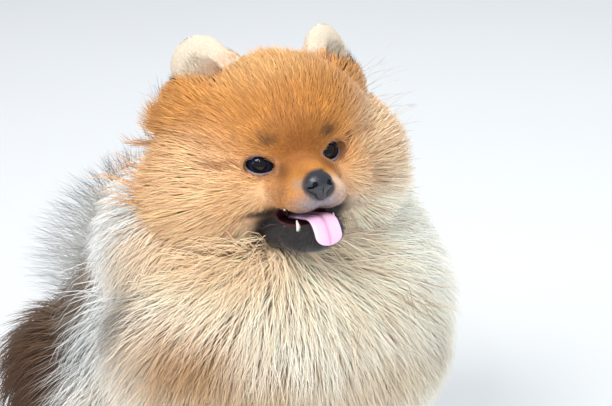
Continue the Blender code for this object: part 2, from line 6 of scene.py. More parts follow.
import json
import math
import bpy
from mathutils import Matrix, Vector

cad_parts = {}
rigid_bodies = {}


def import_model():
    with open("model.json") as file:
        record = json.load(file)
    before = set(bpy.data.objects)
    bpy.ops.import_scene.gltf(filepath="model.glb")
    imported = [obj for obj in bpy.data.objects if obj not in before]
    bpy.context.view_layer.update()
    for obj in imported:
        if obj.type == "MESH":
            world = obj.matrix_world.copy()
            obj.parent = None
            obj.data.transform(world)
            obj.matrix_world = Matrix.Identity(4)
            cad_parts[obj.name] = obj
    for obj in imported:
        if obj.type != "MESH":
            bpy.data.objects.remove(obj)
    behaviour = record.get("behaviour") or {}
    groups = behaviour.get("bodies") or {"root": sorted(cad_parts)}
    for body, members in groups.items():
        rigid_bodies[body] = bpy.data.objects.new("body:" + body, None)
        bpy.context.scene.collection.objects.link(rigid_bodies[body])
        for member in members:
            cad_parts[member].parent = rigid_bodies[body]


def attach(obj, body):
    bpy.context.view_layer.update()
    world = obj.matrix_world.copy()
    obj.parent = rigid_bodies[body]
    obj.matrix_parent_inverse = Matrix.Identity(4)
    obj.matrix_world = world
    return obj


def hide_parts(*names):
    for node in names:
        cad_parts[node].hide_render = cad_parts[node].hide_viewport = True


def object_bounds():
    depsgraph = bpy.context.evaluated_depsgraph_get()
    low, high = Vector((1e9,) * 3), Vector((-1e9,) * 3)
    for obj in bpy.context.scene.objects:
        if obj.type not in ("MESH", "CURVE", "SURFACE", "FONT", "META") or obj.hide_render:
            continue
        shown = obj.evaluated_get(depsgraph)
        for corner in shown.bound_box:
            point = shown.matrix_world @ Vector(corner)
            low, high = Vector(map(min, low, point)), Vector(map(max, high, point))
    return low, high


bl_info = {
    "name": "Sitting Pomeranian",
    "version": (1, 0, 0),
    "blender": (4, 5, 0),
    "location": "3D View > Sidebar > Pomeranian",
    "description": "Builds the skin, coat, eyes, nose, mouth and claws of a sitting Pomeranian",
    "category": "Add Mesh",
}

import bmesh
import bpy
import numpy as np
from mathutils import Euler, Matrix, Vector, noise
from mathutils.kdtree import KDTree

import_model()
CAD_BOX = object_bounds()

# The dog's place over the origin, and the head's turn, as in the solids.
STANCE = Vector((-0.0008, -0.0250, 0.0))
BETWEEN_EYES = Vector((-0.009, -0.066, 0.238))
HEAD_TURN = (math.radians(-14), math.radians(-4.5), math.radians(-15))

# Outer shapes of the coat, out to the tips: centre, radii and turn about X.
COLLAR = ((0, -0.008, 0.188), (0.116, 0.068, 0.057), 0.0)
CHEST = ((0.004, -0.034, 0.132), (0.124, 0.084, 0.066), 0.0)
SHOULDERS = ((0.002, -0.014, 0.160), (0.122, 0.078, 0.052), 0.0)
BIB = ((0.004, -0.042, 0.094), (0.114, 0.068, 0.056), 0.0)
BACK = ((0, 0.040, 0.118), (0.084, 0.075, 0.076), 0.0)
RUMP = ((0, 0.094, 0.064), (0.092, 0.076, 0.072), 0.0)
PLUME = ((0, 0.126, 0.136), (0.080, 0.038, 0.081), math.radians(40))
THIGH = ((0.068, 0.086, 0.057), (0.046, 0.070, 0.055), 0.0)

# The body under the coat.
COLLAR_CORE = ((0, 0.000, 0.176), (0.086, 0.052, 0.044), 0.0)
CHEST_CORE = ((0.002, -0.026, 0.132), (0.090, 0.062, 0.056), 0.0)
BIB_CORE = ((0.002, -0.036, 0.102), (0.080, 0.048, 0.042), 0.0)
BACK_CORE = ((0, 0.038, 0.112), (0.066, 0.066, 0.060), 0.0)
RUMP_CORE = ((0, 0.090, 0.050), (0.070, 0.064, 0.060), 0.0)
THIGH_CORE = ((0.060, 0.088, 0.056), (0.038, 0.062, 0.050), 0.0)
RIBS = ((0, -0.008, 0.118), (0.050, 0.056, 0.062), 0.0)
LOIN = ((0, 0.045, 0.100), (0.052, 0.055, 0.055), 0.0)
DOCK = ((0.0, -0.032, -0.060), (0.0, -0.020, -0.022), (0.0, -0.006, 0.026))
DOCK_RADII = (0.0135, 0.0110, 0.0060)

# Legs and feet of the dog's left side.
HIND_FOOT = ((0.064, 0.000, 0.009), (0.0165, 0.026, 0.0125), 0.0)
HOCK_LINE = ((0.068, 0.078, 0.018), (0.0645, 0.008, 0.012))
HOCK_RADII = (0.016, 0.0115)
HIND_TOE_SPREAD = 0.0068
HIND_TOE = (0.0058, 0.0090, 0.0080)
FORELEG_LINE = ((0.034, -0.022, 0.092), (0.029, -0.038, 0.020))
FORELEG_RADII = (0.0185, 0.0130)
FORE_FOOT = ((0.0285, -0.047, 0.009), (0.0150, 0.0180, 0.0115), 0.0)
FORE_TOE_SPREAD = 0.0066
FORE_TOE = (0.0056, 0.0085, 0.0078)

# The head in its own frame: x to the dog's left, -y ahead, z up, from between the eyes.
CROWN = ((0.002, 0.036, 0.011), (0.061, 0.046, 0.050), 0.0)
NAPE = ((0, 0.060, -0.010), (0.045, 0.030, 0.045), 0.0)
CHEEK_FLUFF = ((0.040, 0.042, -0.014), (0.046, 0.040, 0.048), 0.0)
EAR_ROOT = ((0.036, 0.044, 0.030), (0.029, 0.026, 0.029), 0.0)
CROWN_CORE = ((0.001, 0.034, 0.009), (0.050, 0.042, 0.045), 0.0)
NAPE_CORE = ((0, 0.060, -0.014), (0.040, 0.034, 0.044), 0.0)
FLUFF_CORE = ((0.034, 0.037, -0.012), (0.035, 0.032, 0.037), 0.0)
EAR_ROOT_CORE = ((0.033, 0.044, 0.026), (0.026, 0.024, 0.026), 0.0)
BROW = ((0, 0.010, 0.010), (0.029, 0.021, 0.022), 0.0)
CHEEK = ((0.024, 0.024, -0.012), (0.027, 0.029, 0.026), 0.0)
MUZZLE_BASE = ((0, -0.004, -0.013), (0.0225, 0.019, 0.0155), 0.0)
MUZZLE_MIDDLE = ((0, -0.016, -0.0145), (0.0175, 0.016, 0.0120), 0.0)
LIP_PAD = ((0.0068, -0.0230, -0.0185), (0.0115, 0.0115, 0.0085), 0.0)
BRIDGE = ((0, -0.014, -0.005), (0.0085, 0.020, 0.0065), 0.0)
JAW_BACK = ((0, 0.010, -0.0400), (0.0225, 0.020, 0.0110), 0.0)
JAW_MIDDLE = ((0, -0.007, -0.0415), (0.0175, 0.017, 0.0100), 0.0)
CHIN = ((0, -0.0185, -0.0405), (0.0115, 0.0090, 0.0080), 0.0)
PALATE = ((0, -0.003, -0.030), (0.0150, 0.025, 0.0070), 0.0)
TONGUE_BED = ((0, -0.004, -0.0305), (0.0125, 0.025, 0.0050), 0.0)
NOSE_PAD = ((-0.0004, -0.0335, -0.0112), (0.0079, 0.0060, 0.0064), 0.0)
NOSE_BASE = ((0, -0.0320, -0.0160), (0.0040, 0.0050, 0.0052), 0.0)
NOSTRIL = ((0.0040, -0.0388, -0.0112), (0.0015, 0.0028, 0.0015), 0.0)
NOSTRIL_SLIT = ((0.0062, -0.0368, -0.0126), (0.0024, 0.0028, 0.0007), 0.0)
PHILTRUM = ((0, -0.0392, -0.0165), (0.00035, 0.0024, 0.0036), 0.0)

EYE_CENTRE = (0.0180, 0.0072, 0.0)
EYE_RADIUS = 0.0088
EYE_SPLAY = math.radians(22)
EYE_SLANT = math.radians(9)
EYE_OPENING = (0.0079, 0.0120, 0.0049)

EAR_CENTRE = {1: (0.0420, 0.0470, 0.0430), -1: (-0.0290, 0.0470, 0.0490)}
EAR_BASE = ((0, 0, -0.0060), (0.0245, 0.0105, 0.0205), 0.0)
EAR_TIP = ((0, 0.0010, 0.0080), (0.0182, 0.0080, 0.0162), 0.0)
EAR_CUP = ((0, -0.0108, -0.0010), (0.0140, 0.0072, 0.0160), 0.0)
EAR_LEAN = math.radians(19)
EAR_TIP_BACK = math.radians(-14)
EAR_FACE_OUT = math.radians(34)

TONGUE_LINE = (
    (0.0, 0.012, -0.0330),
    (0.0, -0.008, -0.0318),
    (0.0, -0.022, -0.0310),
    (0.0000, -0.0300, -0.0322),
    (0.0000, -0.0340, -0.0362),
    (0.0000, -0.0356, -0.0408),
    (0.0000, -0.0358, -0.0455),
)
TEETH = (
    ((0.0104, -0.0175, -0.0372), 0.0017, 0.0060),
    ((0.0112, -0.0118, -0.0390), 0.0012, 0.0034),
    ((0.0124, -0.0080, -0.0390), 0.0013, 0.0036),
    ((0.0136, -0.0040, -0.0390), 0.0014, 0.0038),
)
UPPER_TEETH = (
    ((0.0118, -0.0110, -0.0240), 0.0013, 0.0024),
    ((0.0130, -0.0070, -0.0240), 0.0014, 0.0026),
)

# Fineness of the soft forms, and how far roots are sunk in the skin.
SKIN_VOXEL = 0.0014
FINE_VOXEL = 0.00045
ROOT_SINK = 0.0010
PATCH = 0.003
SEED = 7

# The noise would start from the clock.
noise.seed_set(SEED)

SIDES = ((1, "left"), (-1, "right"))
NOSE_TIP = Vector((0.0, -0.046, -0.014))
FACE_MIDDLE = Vector((0.0, -0.005, -0.022))

# Length of the head's coat by the distance from a point between nose and eyes.
FACE_HEART = (0.0, -0.022, -0.012)
FACE_STEPS = (0.010, 0.026, 0.040, 0.056, 0.078, 0.100)
FACE_LENGTHS = (0.0020, 0.0044, 0.0095, 0.0175, 0.0290, 0.0360)

# Bare places of the head: round the nose, and half width and height of the ovals round the eyes.
NOSE_BARE = ((0, -0.0335, -0.0115), (0.0088, 0.0085, 0.0078))
NOSE_RIM = ((0, -0.0335, -0.0122), (0.0092, 0.0095, 0.0084))
EYE_BARE = (0.0091, 0.0059)
EYE_RIM = (0.0112, 0.0080)

# Colours of the skin where no coat hides it.
MOUTH_SKIN = (0.10, 0.030, 0.038)
NOSE_SKIN = (0.07, 0.060, 0.062)
EYE_SKIN = (0.36, 0.17, 0.07)
CUP_SKIN = (0.66, 0.52, 0.40)

# How far tufts may end outside the solids' box and over the floor, and their brightest colour.
ROOM = 0.008
FLOOR_GAP = 0.0005
BRIGHTEST = 0.95

# Where a tuft's rings and its tip stand along its length, and how wide its rings are.
STATIONS = {3: (0.0, 0.5, 1.0), 4: (0.0, 0.30, 0.64, 1.0), 5: (0.0, 0.2, 0.45, 0.72, 1.0)}
PROFILE_LONG = (0.80, 1.0, 0.84, 0.50)
PROFILE_MIDDLE = (0.85, 1.0, 0.66)
PROFILE_SHORT = (0.95, 0.80)
THICKNESS = 0.4

# The lids' rings: how far each lies outside the opening and over the eyeball.
LID_RINGS = (
    (0.0, -0.0004), (0.0002, 0.0005), (0.0007, 0.0011), (0.0014, 0.0013), (0.0022, 0.0009), (0.0030, -0.0004),
)
LID_TINTS = ((0.75, 0.0), (1.1, 0.0), (1.0, 0.7), (1.0, 1.0))
LID_EDGE = (0.018, 0.014, 0.016)
LID_BROWN = (0.40, 0.19, 0.07)
LID_INSIDE = 0.00005
LID_THICKNESS = 0.0010

# Lengths and widths of the shorter coats, and the grey tips under the chin.
JAW_LENGTH = 0.0052
CHIN_TIPS = (0.11, 0.105, 0.11)
LEG_WIDTH = 0.00062
EAR_WIDTH = 0.00040
WISP_WIDTH = 0.00034
PLUME_ROOM = ((0, 0.126, 0.136), (0.084, 0.040, 0.085), math.radians(40))
TONGUE_HALF_WIDTH = 0.0076
TONGUE_HALF_THICKNESS = 0.0016

# Markings of the head in its own frame, and painted light under the cheeks: centre, radii, colour and strength.
HEAD_MARKS_AND_PAINTED_LIGHT = (
    ((0, 0.010, 0.050), (0.040, 0.030, 0.016), (0.70, 0.44, 0.20), 0.5),
    ((-0.045, 0.018, -0.012), (0.030, 0.030, 0.030), (0.95, 0.57, 0.31), 0.85),
    ((-0.022, 0.002, -0.016), (0.012, 0.014, 0.008), (0.95, 0.57, 0.31), 0.85),
    ((0.052, 0.018, -0.006), (0.024, 0.030, 0.034), (0.86, 0.58, 0.36), 0.85),
    ((0.028, 0.004, -0.016), (0.012, 0.014, 0.010), (0.84, 0.50, 0.26), 0.8),
    ((0, 0.000, 0.009), (0.017, 0.020, 0.015), (0.22, 0.065, 0.010), 0.95),
    ((0, 0.002, 0.026), (0.012, 0.016, 0.012), (0.55, 0.22, 0.060), 0.6),
    ((0, -0.014, -0.001), (0.009, 0.014, 0.007), (0.44, 0.17, 0.050), 0.85),
    ((-0.0150, -0.0040, 0.0125), (0.0052, 0.0080, 0.0032), (0.07, 0.028, 0.010), 0.90),
    ((0.0165, -0.0040, 0.0110), (0.0052, 0.0080, 0.0032), (0.07, 0.028, 0.010), 0.90),
    ((-0.0340, 0.0050, 0.0010), (0.0110, 0.0080, 0.0018), (0.26, 0.09, 0.025), 0.75),
    ((0.0360, 0.0070, 0.0030), (0.0110, 0.0080, 0.0022), (0.38, 0.16, 0.05), 0.6),
    ((-0.0125, -0.0100, -0.0070), (0.0056, 0.0100, 0.0075), (0.14, 0.045, 0.012), 1.0),
    ((0.0125, -0.0100, -0.0070), (0.0056, 0.0100, 0.0075), (0.17, 0.055, 0.014), 1.0),
    # Painted light: the lower cheeks are made paler to take away the shadow that the cheeks cast over the ruff.
    ((-0.030, 0.020, -0.045), (0.030, 0.030, 0.018), (0.96, 0.76, 0.55), 0.95),
    ((0.042, 0.020, -0.040), (0.034, 0.035, 0.022), (0.96, 0.80, 0.62), 0.95),
    ((-0.0150, -0.0180, -0.0150), (0.0080, 0.0090, 0.0060), (0.40, 0.17, 0.065), 0.85),
    ((0.0150, -0.0180, -0.0150), (0.0080, 0.0090, 0.0060), (0.42, 0.20, 0.085), 0.85),
    ((0, -0.0310, -0.0210), (0.0150, 0.0100, 0.0060), (0.25, 0.26, 0.30), 0.9),
    ((0.0110, -0.0290, -0.0150), (0.0055, 0.0080, 0.0065), (0.70, 0.54, 0.42), 0.70),
    ((-0.0095, -0.0290, -0.0110), (0.0040, 0.0060, 0.0040), (0.40, 0.28, 0.19), 0.7),
    ((-0.0205, 0.0050, -0.0270), (0.0080, 0.0170, 0.0034), (0.030, 0.022, 0.020), 1.0),
    ((0.0205, 0.0050, -0.0270), (0.0080, 0.0170, 0.0034), (0.030, 0.022, 0.020), 1.0),
    ((0, -0.0240, -0.0262), (0.0170, 0.0120, 0.0022), (0.040, 0.032, 0.034), 0.9),
    ((-0.0275, 0.0030, -0.0258), (0.0060, 0.0100, 0.0026), (0.030, 0.022, 0.020), 1.0),
    ((-0.0215, 0.0100, -0.0300), (0.0080, 0.0100, 0.0045), (0.030, 0.022, 0.020), 1.0),
    ((0.0240, 0.0140, -0.0300), (0.0100, 0.0120, 0.0048), (0.030, 0.022, 0.020), 1.0),
    ((-0.0185, 0.0100, -0.0400), (0.0075, 0.0120, 0.0085), (0.030, 0.022, 0.020), 1.0),
    ((0.0185, 0.0100, -0.0400), (0.0075, 0.0120, 0.0085), (0.030, 0.022, 0.020), 1.0),
)

# Markings of the body, before the dog is moved over the origin.
BODY_MARKS = (
    ((-0.070, -0.035, 0.195), (0.045, 0.045, 0.024), (0.86, 0.50, 0.25), 0.70),
    ((-0.045, -0.060, 0.178), (0.040, 0.040, 0.018), (0.90, 0.56, 0.30), 0.60),
    ((0.030, -0.085, 0.185), (0.040, 0.040, 0.022), (0.92, 0.66, 0.44), 0.50),
    ((0.085, -0.060, 0.160), (0.045, 0.060, 0.050), (0.94, 0.92, 0.80), 0.80),
    ((0.080, -0.070, 0.105), (0.040, 0.050, 0.028), (0.66, 0.62, 0.48), 0.60),
    ((-0.086, -0.066, 0.128), (0.034, 0.044, 0.026), (0.42, 0.22, 0.080), 0.95),
    ((-0.054, -0.092, 0.106), (0.034, 0.040, 0.016), (0.52, 0.31, 0.13), 0.75),
    ((0.020, -0.100, 0.104), (0.045, 0.040, 0.014), (0.66, 0.45, 0.24), 0.55),
    ((-0.097, 0.004, 0.192), (0.020, 0.045, 0.026), (0.72, 0.58, 0.42), 0.85),
    ((-0.104, -0.020, 0.146), (0.015, 0.017, 0.026), (0.07, 0.055, 0.045), 0.92),
    ((-0.110, -0.006, 0.168), (0.012, 0.022, 0.010), (0.13, 0.10, 0.08), 0.70),
    ((-0.108, 0.012, 0.122), (0.022, 0.030, 0.036), (0.56, 0.59, 0.59), 0.90),
    ((-0.088, 0.066, 0.098), (0.022, 0.014, 0.022), (0.06, 0.045, 0.035), 0.75),
)

# Stray hairs: where they start in the dog's or the head's frame, their way, length, curl, number and colour.
WISPS = (
    ("head", (0.054, 0.040, 0.028), (0.90, -0.10, 0.28), 0.030, 0.0008, 16, (0.80, 0.76, 0.66)),
    ("head", (0.066, 0.036, 0.008), (0.95, -0.15, 0.20), 0.026, 0.0008, 18, (0.78, 0.70, 0.56)),
    ("head", (-0.050, 0.034, 0.030), (-0.90, -0.10, 0.30), 0.018, 0.0008, 14, (0.62, 0.34, 0.13)),
    ("head", (-0.064, 0.034, 0.010), (-0.95, -0.10, 0.18), 0.018, 0.0010, 14, (0.70, 0.44, 0.20)),
    ("dog", (0.028, -0.106, 0.160), (0.35, -0.12, -0.75), 0.030, 0.0030, 12, (0.46, 0.26, 0.09)),
    ("dog", (0.006, -0.107, 0.150), (0.10, -0.12, -0.80), 0.028, 0.0028, 9, (0.50, 0.28, 0.10)),
    ("dog", (0.052, -0.101, 0.155), (0.55, -0.10, -0.60), 0.026, 0.0030, 9, (0.50, 0.30, 0.12)),
)

# Lights round the camera's line of sight: turn from it, height, distance, size, power and colour.
LIGHTS = (
    ("key_light", -38, 48, 1.7, 0.85, 22.5, (1.0, 0.985, 0.96)),
    ("fill_light", 50, 22, 1.9, 1.4, 15.0, (0.84, 0.92, 1.0)),
    ("top_light", 160, 62, 1.7, 1.2, 18.0, (0.95, 0.98, 1.0)),
    ("low_light", 12, 6, 1.9, 1.2, 6.5, (1.0, 0.97, 0.93)),
    ("sparkle_light", -8, 36, 1.5, 0.06, 1.8, (1.0, 1.0, 1.0)),
    ("sky_light", -60, 14, 1.6, 0.55, 2.4, (0.30, 0.55, 1.0)),
)
LIGHTS_AIM = (0.0, -0.02, 0.15)

# Where the camera aims, aside and up across its line of sight, and its sensor's width in millimetres.
AIM_ASIDE = 0.0363
AIM_UP = 0.1787
SENSOR = 36.0


def tint(name, description, *colour):
    return bpy.props.FloatVectorProperty(name=name, description=description, subtype="COLOR", default=colour)


def span(name, description, default, low, high):
    return bpy.props.FloatProperty(
        name=name, description=description, default=default, min=low, max=high, unit="LENGTH"
    )


def tufts(name, description, default, high):
    return bpy.props.IntProperty(name=name, description=description, default=default, min=100, max=high)


def rotation(name, description, degrees):
    return bpy.props.FloatProperty(
        name=name, description=description, default=math.radians(degrees), unit="ROTATION"
    )


class CoatColours(bpy.types.PropertyGroup):
    """Colours of the coat and skin, as linear light."""

    forehead: tint("Forehead", "Orange of the forehead and cheeks", 0.54, 0.215, 0.042)
    peach: tint("Peach", "Peach of the ruff under the cheeks", 0.96, 0.80, 0.60)
    cream: tint("Cream", "Cream of the chest", 0.94, 0.83, 0.68)
    haunch: tint("Haunch", "Brown of the haunches", 0.085, 0.037, 0.013)
    sable: tint("Sable", "Paler brown along the back", 0.30, 0.22, 0.14)
    band: tint("Pale band", "Pale fur between the ruff and the haunch", 0.80, 0.82, 0.80)
    plume: tint("Plume", "White fur of the tail", 0.86, 0.87, 0.82)
    ear: tint("Ear", "Pale fur of the ears", 0.84, 0.70, 0.53)
    ear_rim: tint("Ear rim", "Brown fur along the ears' outer edge", 0.24, 0.11, 0.040)
    jaw: tint("Jaw", "Black fur of the lower jaw", 0.030, 0.026, 0.026)
    leg: tint("Leg", "Short fur of the legs", 0.72, 0.50, 0.30)
    lid: tint("Lid", "Lilac grey skin round the eyes", 0.36, 0.30, 0.38)
    nose: tint("Nose", "Black leather of the nose", 0.013, 0.015, 0.021)
    tongue: tint("Tongue", "Pink of the tongue", 0.80, 0.47, 0.64)
    # Painted reflection: the eyes' dark colour with the blue of the sky painted into it.
    iris: tint("Iris", "Dark blue that the iris shows under the sky", 0.010, 0.020, 0.055)


class CoatSizes(bpy.types.PropertyGroup):
    """Lengths, widths and numbers of the tufts of each coat."""

    ruff_length: span("Ruff length", "Length of the ruff's tufts", 0.058, 0.01, 0.1)
    ruff_width: span("Ruff width", "Width of one tuft of the ruff", 0.00054, 0.0003, 0.004)
    ruff_tufts: tufts("Ruff tufts", "How many tufts the ruff has", 27500, 36000)
    back_length: span("Back length", "Length of the tufts of back and thighs", 0.046, 0.01, 0.1)
    back_width: span("Back width", "Width of one tuft of back and thighs", 0.00062, 0.0003, 0.004)
    back_tufts: tufts("Back tufts", "How many tufts back and thighs have", 13500, 20000)
    plume_length: span("Plume length", "Length of the tail's tufts", 0.088, 0.01, 0.14)
    plume_width: span("Plume width", "Width of one tuft of the tail", 0.00046, 0.0003, 0.004)
    plume_tufts: tufts("Plume tufts", "How many tufts the tail has", 3400, 7000)
    head_width: span("Head width", "Width of one tuft at the back of the head", 0.00049, 0.0002, 0.003)
    face_width: span("Face width", "Width of one tuft of the face", 0.00036, 0.0002, 0.003)
    head_tufts: tufts("Head tufts", "How many tufts the long coat of the head has", 18500, 26000)
    face_tufts: tufts("Face tufts", "How many tufts the short coat of the face has", 19500, 26000)
    leg_tufts: tufts("Leg tufts", "How many tufts the legs have", 5200, 9000)
    ear_tufts: tufts("Ear tufts", "How many tufts the ears have", 6500, 9000)


class StageSizes(bpy.types.PropertyGroup):
    """Floor, lights and camera."""

    floor_size: span("Floor size", "Side of the square floor", 8.0, 1, 40)
    camera_distance: span("Camera distance", "From the lens to the face", 1.2, 0.3, 5)
    camera_azimuth: rotation("Camera azimuth", "Turn of the camera round the dog", -35)
    camera_elevation: rotation("Camera elevation", "Height of the camera as an angle", 20)
    frame_width: span("Frame width", "Width of the picture at the face", 0.3366, 0.05, 3)


def shape_matrix(shape):
    centre, radii, turn = shape
    spin = Euler((turn, 0, 0)).to_matrix().to_4x4()
    return Matrix.Translation(centre) @ spin @ Matrix.Diagonal([*radii, 1])


def mirrored(shape, side):
    (x, y, z), radii, turn = shape
    return ((x * side, y, z), radii, turn)


def both(*shapes):
    return [mirrored(shape, side) for shape in shapes for side in (1, -1)]


PITCH, ROLL, YAW = HEAD_TURN
HEAD_SPIN = Euler((0, 0, YAW)).to_matrix() @ Euler((PITCH, 0, 0)).to_matrix() @ Euler((0, ROLL, 0)).to_matrix()
BODY = Matrix.Translation(STANCE)
HEAD = BODY @ Matrix.Translation(BETWEEN_EYES) @ HEAD_SPIN.to_4x4()
TAIL = BODY @ Matrix.Translation(PLUME[0]) @ Euler((PLUME[2], 0, 0)).to_matrix().to_4x4()


def body_matrices(*shapes):
    return [BODY @ shape_matrix(shape) for shape in shapes]


def head_matrices(*shapes):
    return [HEAD @ shape_matrix(shape) for shape in shapes]


def eye_frame(side):
    """At the eyeball's centre, with -y along the gaze and x along the lids."""
    x, y, z = EYE_CENTRE
    turn = Euler((0, 0, EYE_SPLAY * side)).to_matrix() @ Euler((0, -EYE_SLANT * side, 0)).to_matrix()
    return HEAD @ Matrix.Translation((x * side, y, z)) @ turn.to_4x4()


def ear_frame(side):
    """At the middle of the ear, with z to its tip and -y out of its cup."""
    turn = Euler((EAR_TIP_BACK, EAR_LEAN * side, 0)).to_matrix() @ Euler((0, 0, EAR_FACE_OUT * side)).to_matrix()
    return HEAD @ Matrix.Translation(EAR_CENTRE[side]) @ turn.to_4x4()


def new_object(name, mesh):
    obj = bpy.data.objects.new(name, mesh)
    bpy.context.scene.collection.objects.link(obj)
    return obj


def mesh_of(bm, name):
    mesh = bpy.data.meshes.new(name)
    bm.to_mesh(mesh)
    bm.free()
    return mesh


def balls_object(name, matrices, segments=32, rings=20):
    """One object of balls stretched by these matrices, as separate shells."""
    bm = bmesh.new()
    bmesh.ops.create_uvsphere(bm, u_segments=segments, v_segments=rings, radius=1)
    ball = np.array([vert.co for vert in bm.verts], float)
    faces = [[vert.index for vert in face.verts] for face in bm.faces]
    bm.free()
    points = np.concatenate([moved(ball, matrix) for matrix in matrices])
    everywhere = [[i + k * len(ball) for i in face] for k in range(len(matrices)) for face in faces]
    mesh = bpy.data.meshes.new(name)
    mesh.from_pydata(points.tolist(), [], everywhere)
    return new_object(name, mesh)


def applied(obj):
    """The object with its modifiers turned into mesh."""
    bpy.context.view_layer.update()
    graph = bpy.context.evaluated_depsgraph_get()
    mesh = bpy.data.meshes.new_from_object(obj.evaluated_get(graph))
    obj.modifiers.clear()
    obj.data = mesh
    return obj


def softened(obj, steps):
    soft = obj.modifiers.new("soften", "SMOOTH")
    soft.factor, soft.iterations = 0.5, steps
    return applied(obj)


def melted(name, matrices, voxel, smoothing):
    """Overlapping balls melted into one soft skin."""
    obj = balls_object(name, matrices)
    remesh = obj.modifiers.new("melt", "REMESH")
    remesh.mode, remesh.voxel_size = "VOXEL", voxel
    return softened(obj, smoothing)


def carved(obj, matrices, floor=False):
    """The object less balls stretched by these matrices and, if asked, less all that is under the floor."""
    group = bpy.data.collections.new("cutters")
    for matrix in matrices:
        ball = balls_object("cutter", [matrix], 40, 24)
        bpy.context.scene.collection.objects.unlink(ball)
        group.objects.link(ball)
    if floor:
        bm = bmesh.new()
        bmesh.ops.create_cube(bm, size=1.0, matrix=Matrix.Translation((0, 0, -0.5)))
        group.objects.link(bpy.data.objects.new("cutter", mesh_of(bm, "cutter")))
    step = obj.modifiers.new("carve", "BOOLEAN")
    step.operation, step.solver = "DIFFERENCE", "MANIFOLD"
    step.operand_type, step.collection = "COLLECTION", group
    applied(obj)
    for cutter in list(group.objects):
        bpy.data.objects.remove(cutter)
    bpy.data.collections.remove(group)
    return obj


def limb_matrices(line, radii, side=1, steps=14):
    """Balls of changing size strung along straight runs between points."""
    found = []
    for i in range(len(line) - 1):
        start, end = Vector(line[i]), Vector(line[i + 1])
        for k in range(steps + 1):
            t = k / steps
            r = radii[i] + (radii[i + 1] - radii[i]) * t
            x, y, z = start.lerp(end, t)
            found.append(shape_matrix(((x * side, y, z), (r, r, r), 0.0)))
    return found


def paw_shapes(foot, toe, spread, side):
    """A paw with four toes, the middle two set ahead of the others."""
    (x, y, _), radii, _ = foot
    shapes = [mirrored(foot, side)]
    for place in (-1.5, -0.5, 0.5, 1.5):
        ahead = radii[1] * (0.86 if abs(place) < 1 else 0.66)
        shapes.append(((x * side + place * spread, y - ahead, toe[2] * 0.9), toe, 0.0))
    return shapes


def node(tree, kind, **values):
    made = tree.nodes.new(kind)
    for name, value in values.items():
        setattr(made, name, value)
    return made


def varied_colour(tree, source, scale, amount):
    """The colour lightened and darkened a little by noise of this scale."""
    coords = node(tree, "ShaderNodeTexCoord")
    grain = node(tree, "ShaderNodeTexNoise")
    grain.inputs["Scale"].default_value = scale
    grain.inputs["Detail"].default_value = 3.0
    spread = node(tree, "ShaderNodeMapRange")
    spread.inputs["To Min"].default_value = 1 - amount
    spread.inputs["To Max"].default_value = 1 + amount
    shade = node(tree, "ShaderNodeHueSaturation")
    tree.links.new(coords.outputs["Object"], grain.inputs["Vector"])
    tree.links.new(grain.outputs["Fac"], spread.inputs["Value"])
    tree.links.new(spread.outputs["Result"], shade.inputs["Value"])
    tree.links.new(source, shade.inputs["Color"])
    return shade.outputs["Color"]


def bumped(tree, shader, scale, strength, distance, kind="ShaderNodeTexNoise", output="Fac"):
    coords = node(tree, "ShaderNodeTexCoord")
    grain = node(tree, kind)
    grain.inputs["Scale"].default_value = scale
    bump = node(tree, "ShaderNodeBump")
    bump.inputs["Strength"].default_value = strength
    bump.inputs["Distance"].default_value = distance
    tree.links.new(coords.outputs["Object"], grain.inputs["Vector"])
    tree.links.new(grain.outputs[output], bump.inputs["Height"])
    tree.links.new(bump.outputs["Normal"], shader.inputs["Normal"])


def markings(tree):
    """The colours that the mesh carries: markings, and on coats, skin and tongue also painted shade."""
    return node(tree, "ShaderNodeAttribute", attribute_name="coat").outputs["Color"]


def plain(*colour):
    """One colour everywhere."""
    def source(tree):
        made = node(tree, "ShaderNodeRGB")
        made.outputs[0].default_value = (*colour, 1)
        return made.outputs[0]
    return source


def gaze(iris):
    """A black pupil, the iris with its painted sky reflection, its dark rim and the white of the eye, from the
    middle of the gaze outwards.
    """
    black, dim = (0.004, 0.003, 0.004), tuple(part * 0.6 for part in iris)
    rim, white = (0.006, 0.004, 0.004), (0.16, 0.10, 0.08)
    stops = ((0.0, black), (0.46, black), (0.54, iris), (0.72, dim), (0.80, rim), (1.0, white))

    def source(tree):
        coords = node(tree, "ShaderNodeAttribute", attribute_name="gaze")
        ramp = node(tree, "ShaderNodeValToRGB")
        elements = ramp.color_ramp.elements
        for element, (position, colour) in ((elements[0], stops[0]), (elements[1], stops[-1])):
            element.position, element.color = position, (*colour, 1)
        for position, colour in stops[1:-1]:
            elements.new(position).color = (*colour, 1)
        tree.links.new(coords.outputs["Fac"], ramp.inputs["Fac"])
        return ramp.outputs["Color"]
    return source


def surface(name, source, scale, amount, settings, bump=()):
    """A material of this colour source with a little variation, these shader settings and, if given, a bump."""
    made = bpy.data.materials.new(name)
    made.use_nodes = True
    tree = made.node_tree
    shader = tree.nodes["Principled BSDF"]
    tree.links.new(varied_colour(tree, source(tree), scale, amount), shader.inputs["Base Color"])
    for socket, value in settings.items():
        shader.inputs[socket].default_value = value
    if bump:
        bumped(tree, shader, *bump)
    return made


def hair(name, roughness, grain):
    """Hair that takes its markings and the painted shade at its roots from the mesh, with a little grain along each
    tuft.
    """
    settings = {"Roughness": roughness, "Specular IOR Level": 0.28, "Sheen Weight": 0.25, "Sheen Roughness": 0.5}
    return surface(name, markings, grain, 0.16, settings)


def moved(points, matrix):
    m = np.array(matrix, float)
    return points @ m[:3, :3].T + m[:3, 3]


def turned(vectors, matrix):
    return vectors @ np.array(matrix, float)[:3, :3].T


def unit(vectors):
    return vectors / np.maximum(np.linalg.norm(vectors, axis=-1, keepdims=True), 1e-12)


def smooth_step(low, high, value):
    t = np.clip((value - low) / (high - low), 0, 1)
    return t * t * (3 - 2 * t)


def mix(a, b, t):
    return a + (b - a) * t


